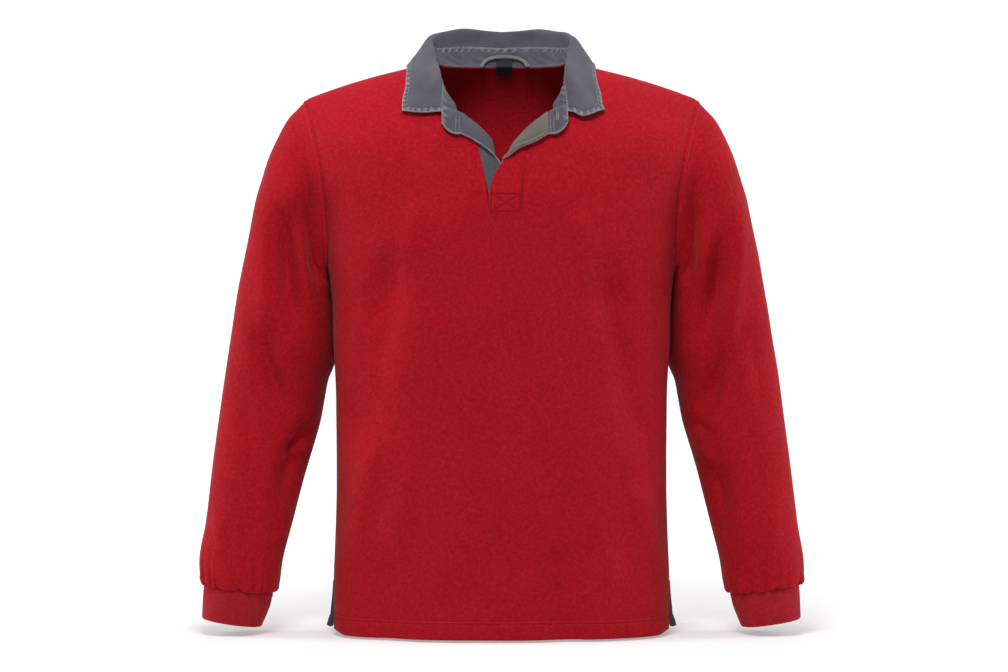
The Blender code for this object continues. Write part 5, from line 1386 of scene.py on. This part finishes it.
def make_trim(back, back_ways):
    """Vent tapes, neck label, hanger loop and button."""
    z = back[:, 0, 2]
    rows = np.flatnonzero(z < VENT_TOP_Z - 0.003)
    depth = (HEM_FLEECE + TAPE_CLOTH) / 2 + SEAM_GAP
    for hand, beside in (("left", slice(0, 40)), ("right", slice(-1, -41, -1))):
        lines = back[rows][:, beside]
        square = back_ways[rows][:, beside]
        measure = lengths(lines, 1)
        columns = []
        for distance in np.linspace(0.0, TAPE_WIDTH, 13):
            columns.append(on_columns(lines, square, -depth, measure, distance)[0])
        beyond = unit(lines[:, 0] - lines[:, 1]) * 0.0008
        for share in (0.5, -0.5, -1.0):
            columns.insert(0, lines[:, 0] + beyond - square[:, 0] * depth * share)
        low = ease(1 - (lines[:, 0, 2] - lines[-1, 0, 2]) / 0.006)
        columns.insert(0, on_columns(lines, square, depth - 0.0004, measure, 0.0012)[0])
        grid = np.stack(columns, axis=1)
        grid[..., 2] -= 0.0016 * low[:, None]
        ways = square_to(grid, False)
        ways *= np.sign(np.sum(ways[4, -2] * square[4, 5]))
        piece = shell(f"vent_tape_{hand}_cloth", grid, ways, TAPE_CLOTH, TAPE_LOOK)
        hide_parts(f"vent_tape_{hand}")
    middle_x, half, top, bottom = LABEL
    columns = np.linspace(middle_x - half, middle_x + half, 26)
    down, across = np.meshgrid(np.linspace(top, bottom, 28), columns, indexing="ij")
    y = stand_inner_y(across, down) - LABEL_DEPTH + 0.0004 * np.sin(240 * across) * ease((top - down) / 0.012)
    grid = np.stack([across, y, down], axis=-1)
    ways = square_to(grid, False)
    ways *= np.sign(ways[0, 0, 1])
    piece = shell("neck_label_cloth", grid, ways, LABEL_CLOTH, LABEL_LOOK, ragged=("bottom",))
    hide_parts("neck_label")
    hem = [(grid[1, 1:-1] - ways[1, 1:-1] * 0.0006, -ways[1, 1:-1])]
    stitches("label_stitches", hem, GREY_THREAD, pitch=0.0022, length=0.0016, radius=0.00022)
    path = through(np.array(HANGER_PATH), np.linspace(0, len(HANGER_PATH) - 1, 90))
    along = unit(np.gradient(path, axis=0))
    flat = np.stack([-along[:, 1], along[:, 0]], axis=-1)
    places = path[:, None] + flat[:, None] * np.linspace(-1, 1, 9)[None, :, None] * HANGER_HALF_WIDTH
    beyond_label = ease((np.abs(places[..., 0] - middle_x) - half - 0.0020) / 0.0090)
    y = stand_inner_y(places[..., 0], places[..., 1]) - (HANGER_DEPTH - 0.0018 * beyond_label)
    y = y - 0.0005 * (1 - np.linspace(-1, 1, 9) ** 2)
    grid = np.stack([places[..., 0], y, places[..., 1]], axis=-1)
    ways = square_to(grid, False)
    ways *= np.sign(ways[0, 0, 1])
    piece = shell("hanger_loop_cloth", grid, ways, HANGER_CLOTH, LOOP_LOOK, ragged=("left", "right"))
    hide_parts("hanger_loop")
    lines = []
    for rows in (slice(1, 7), slice(-7, -1)):
        for column in (1, 4, 7):
            lines.append((grid[rows, column] - ways[rows, column] * 0.0007, -ways[rows, column]))
    stitches("loop_stitches", lines, PALE_THREAD, pitch=0.0014, length=0.0012, radius=0.00024)
    make_button()


def make_button():
    """A small rimmed button, sewn on with two stitches."""
    x, z = BUTTON_PLACE
    normal = np.asarray(trunk_normal(x, z, -1), float)
    centre = trunk_point(x, z, -1) + normal * (FLEECE / 2 + SEAM_GAP)
    sideways = unit(np.cross(normal, (0.0, 0.0, 1.0)))
    upward = np.cross(sideways, normal)
    profile = ((0.0, 0.0), (0.70, 0.0), (0.96, 0.25), (1.0, 0.55), (0.95, 0.85), (0.84, 1.0), (0.72, 0.92),
               (0.60, 0.70), (0.0, 0.66))
    count = 48
    points, faces = [], []
    turn = np.linspace(0.0, 2 * np.pi, count, endpoint=False)
    for radius, rise in profile:
        ways = np.cos(turn)[:, None] * sideways + np.sin(turn)[:, None] * upward
        ring = BUTTON_RADIUS * max(radius, 0.02) * ways
        points.append(centre + ring + normal * BUTTON_THICK * rise)
    points = np.concatenate(points)
    for ring in range(len(profile) - 1):
        for index in range(count):
            a, b = ring * count + index, ring * count + (index + 1) % count
            faces.append((a, b, b + count, a + count))
    faces.append(tuple(range(count))[::-1])
    faces.append(tuple(range(len(points) - count, len(points))))
    mesh = bpy.data.meshes.new("neck_button_shell")
    mesh.from_pydata(points.tolist(), [], faces)
    material, tree, shader, at = cloth("button_shell", 0.38, 0.0, (1.0, 1.0, 1.0), 0.5)
    cloud = node(tree, "ShaderNodeTexNoise", Vector=(at, "Object"), Scale=300.0, Detail=4.0, Distortion=0.6)
    colour = ramp(tree, (cloud, "Fac"), ((0.35, (0.20, 0.19, 0.20)), (0.65, (0.40, 0.39, 0.41))))
    finish_cloth(tree, shader, (colour, "Color"), (cloud, "Fac"), 0.0001, 0.3)
    piece = keep("neck_button_shell", mesh, material)
    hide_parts("neck_button")
    lines = []
    for offset in (-0.0011, 0.0011):
        share = np.linspace(-0.0014, 0.0014, 8)
        line = centre + sideways * offset + upward * share[:, None] + normal * BUTTON_THICK * 0.72
        lines.append((line, np.tile(normal, (8, 1))))
    stitches("button_stitches", lines, GREY_THREAD, pitch=0.0026, length=0.0024)


def make_buttonhole(stand, ways):
    """A worked buttonhole near the right end of the stand, on the side that has turned outwards."""
    apart = np.hypot(stand[..., 0] - BUTTONHOLE_PLACE[0], stand[..., 2] - BUTTONHOLE_PLACE[1])
    row, column = np.unravel_index(apart.argmin(), apart.shape)
    lines = []
    centre = stand[row, column]
    way = ways[row, column]
    face = -way if way[1] > 0 else way
    along = unit(np.cross(face, (1.0, 0.0, 0.0)))
    across = unit(np.cross(along, face))
    for offset in (-0.0010, 0.0010):
        share = np.linspace(-BUTTONHOLE_HALF, BUTTONHOLE_HALF, 26)
        line = centre + across * offset + along * share[:, None] + face * (CANVAS / 2 + 0.0001)
        lines.append((line, np.tile(face, (26, 1))))
    stitches("buttonhole_stitches", lines, PALE_THREAD, pitch=0.0008, length=0.0011,
             radius=0.0003)


# The garment

front_piece, _, _ = make_panel(-1, "front_cloth", front_top(), FRONT_COLUMNS)
back_piece, back, back_ways = make_panel(1, "back_cloth", back_top(), BACK_COLUMNS)
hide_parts("front_panel")
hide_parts("back_panel")
for side, hand in ((-1, "left"), (1, "right")):
    piece = make_sleeve(side, hand)
    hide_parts(f"sleeve_{hand}")
    piece = make_cuff(side, hand)
    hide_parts(f"cuff_{hand}")
stand, stand_ways = make_collar()
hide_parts("collar_stand")
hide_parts("collar_fall")
make_plackets()
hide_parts("placket_under")
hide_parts("placket_upper")
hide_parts("placket_facing")
box_stitches()
make_trim(back, back_ways)
make_buttonhole(stand, stand_ways)


# Floor, backdrop, lights and camera


# The floor's own light keeps it white in the photo's view. Its edge shows from the side and from behind.
FLOOR_GLOW = 0.34
FLOOR_GAP = 0.0030
STAGE_HALF = 7.0
SWEEP_START = 4.8
SWEEP = 1.2


def make_stage():
    """A white floor that sweeps up into a backdrop."""
    profile = [(-STAGE_HALF, 0.0), (SWEEP_START, 0.0)]
    turn = np.linspace(0.0, np.pi / 2, 24)
    profile += [(SWEEP_START + SWEEP * np.sin(angle), SWEEP * (1 - np.cos(angle))) for angle in turn[1:]]
    profile += [(6.0, STAGE_HALF)]
    points = [(x, y, HEM_Z - FLOOR_GAP + z) for y, z in profile for x in (-STAGE_HALF, STAGE_HALF)]
    faces = [(2 * i, 2 * i + 1, 2 * i + 3, 2 * i + 2) for i in range(len(profile) - 1)]
    mesh = bpy.data.meshes.new("studio_floor")
    mesh.from_pydata(points, [], faces)
    mesh.shade_smooth()
    material = bpy.data.materials.new("studio_white")
    material.use_nodes = True
    tree = material.node_tree
    shader = tree.nodes["Principled BSDF"]
    shader.inputs["Base Color"].default_value = (0.62, 0.62, 0.62, 1.0)
    shader.inputs["Roughness"].default_value = 1.0
    shader.inputs["Emission Strength"].default_value = 1.0
    at = tree.nodes.new("ShaderNodeTexCoord")
    parts = node(tree, "ShaderNodeSeparateXYZ", Vector=(at, "Object"))
    reach = math(tree, "MULTIPLY_ADD", (parts, "Y"), 0.25, 0.30)
    even = grey(FLOOR_GLOW)
    glow = ramp(tree, reach, ((0.12, grey(0.02)), (0.19, even), (0.34, even), (0.75, grey(0.80))))
    beside = math(tree, "MULTIPLY", math(tree, "ABSOLUTE", (parts, "X"), 0.0), 0.4)
    lit = ramp(tree, beside, ((0.76, grey(1.0)), (1.0, grey(0.12))))
    shade = mix(tree, 1.0, (glow, "Color"), (lit, "Color"), "MULTIPLY")
    tree.links.new(shade[0].outputs[shade[1]], shader.inputs["Emission Color"])
    mesh.materials.append(material)
    made = bpy.data.objects.new("studio_floor", mesh)
    bpy.context.scene.collection.objects.link(made)


def area_light(name, place, aim, size, power):
    """A rectangular light aimed at a point."""
    lamp = bpy.data.lights.new(name, "AREA")
    lamp.shape = "RECTANGLE"
    lamp.size, lamp.size_y = size
    lamp.energy = power
    made = bpy.data.objects.new(name, lamp)
    made.location = place
    made.rotation_euler = (Vector(aim) - Vector(place)).to_track_quat("-Z", "Y").to_euler()
    bpy.context.scene.collection.objects.link(made)


make_stage()
# Name, place, point aimed at, size and watts
for row in (
    ("key", (-0.15, -1.15, 1.20), (0.0, 0.0, -0.15), (0.6, 0.4), 27.0),
    ("front", (0.0, -3.0, 0.1), (0.0, 0.0, -0.25), (1.0, 0.7), 6.0),
    ("fill_left", (-2.0, -0.25, 0.0), (-0.3, 0.0, -0.35), (0.6, 1.6), 6.0),
    ("fill_right", (2.0, -0.25, 0.0), (0.3, 0.0, -0.35), (0.6, 1.6), 6.0),
    ("rim_left", (-2.1, 0.32, 0.35), (-0.3, 0.0, -0.35), (0.6, 1.5), 22.0),
    ("rim_right", (2.1, 0.32, 0.35), (0.3, 0.0, -0.35), (0.6, 1.5), 22.0),
    ("top", (0.0, -0.2, 2.0), (0.0, 0.0, -0.2), (1.0, 1.0), 16.0),
):
    area_light(*row)
world = bpy.data.worlds.new("studio_air")
world.use_nodes = True
world.node_tree.nodes["Background"].inputs["Color"].default_value = (1.0, 1.0, 1.0, 1.0)
world.node_tree.nodes["Background"].inputs["Strength"].default_value = 0.09
bpy.context.scene.world = world
bpy.context.scene.view_settings.view_transform = "Standard"

eye = bpy.data.cameras.new("photo_view")
eye.lens = 88.87
eye.sensor_width = 36.0
eye.sensor_fit = "HORIZONTAL"
camera = bpy.data.objects.new("photo_view", eye)
camera.location = (0.0032, -3.2, -0.3447)
camera.rotation_euler = (np.pi / 2, 0.0, 0.0)
bpy.context.scene.collection.objects.link(camera)
bpy.context.scene.camera = camera
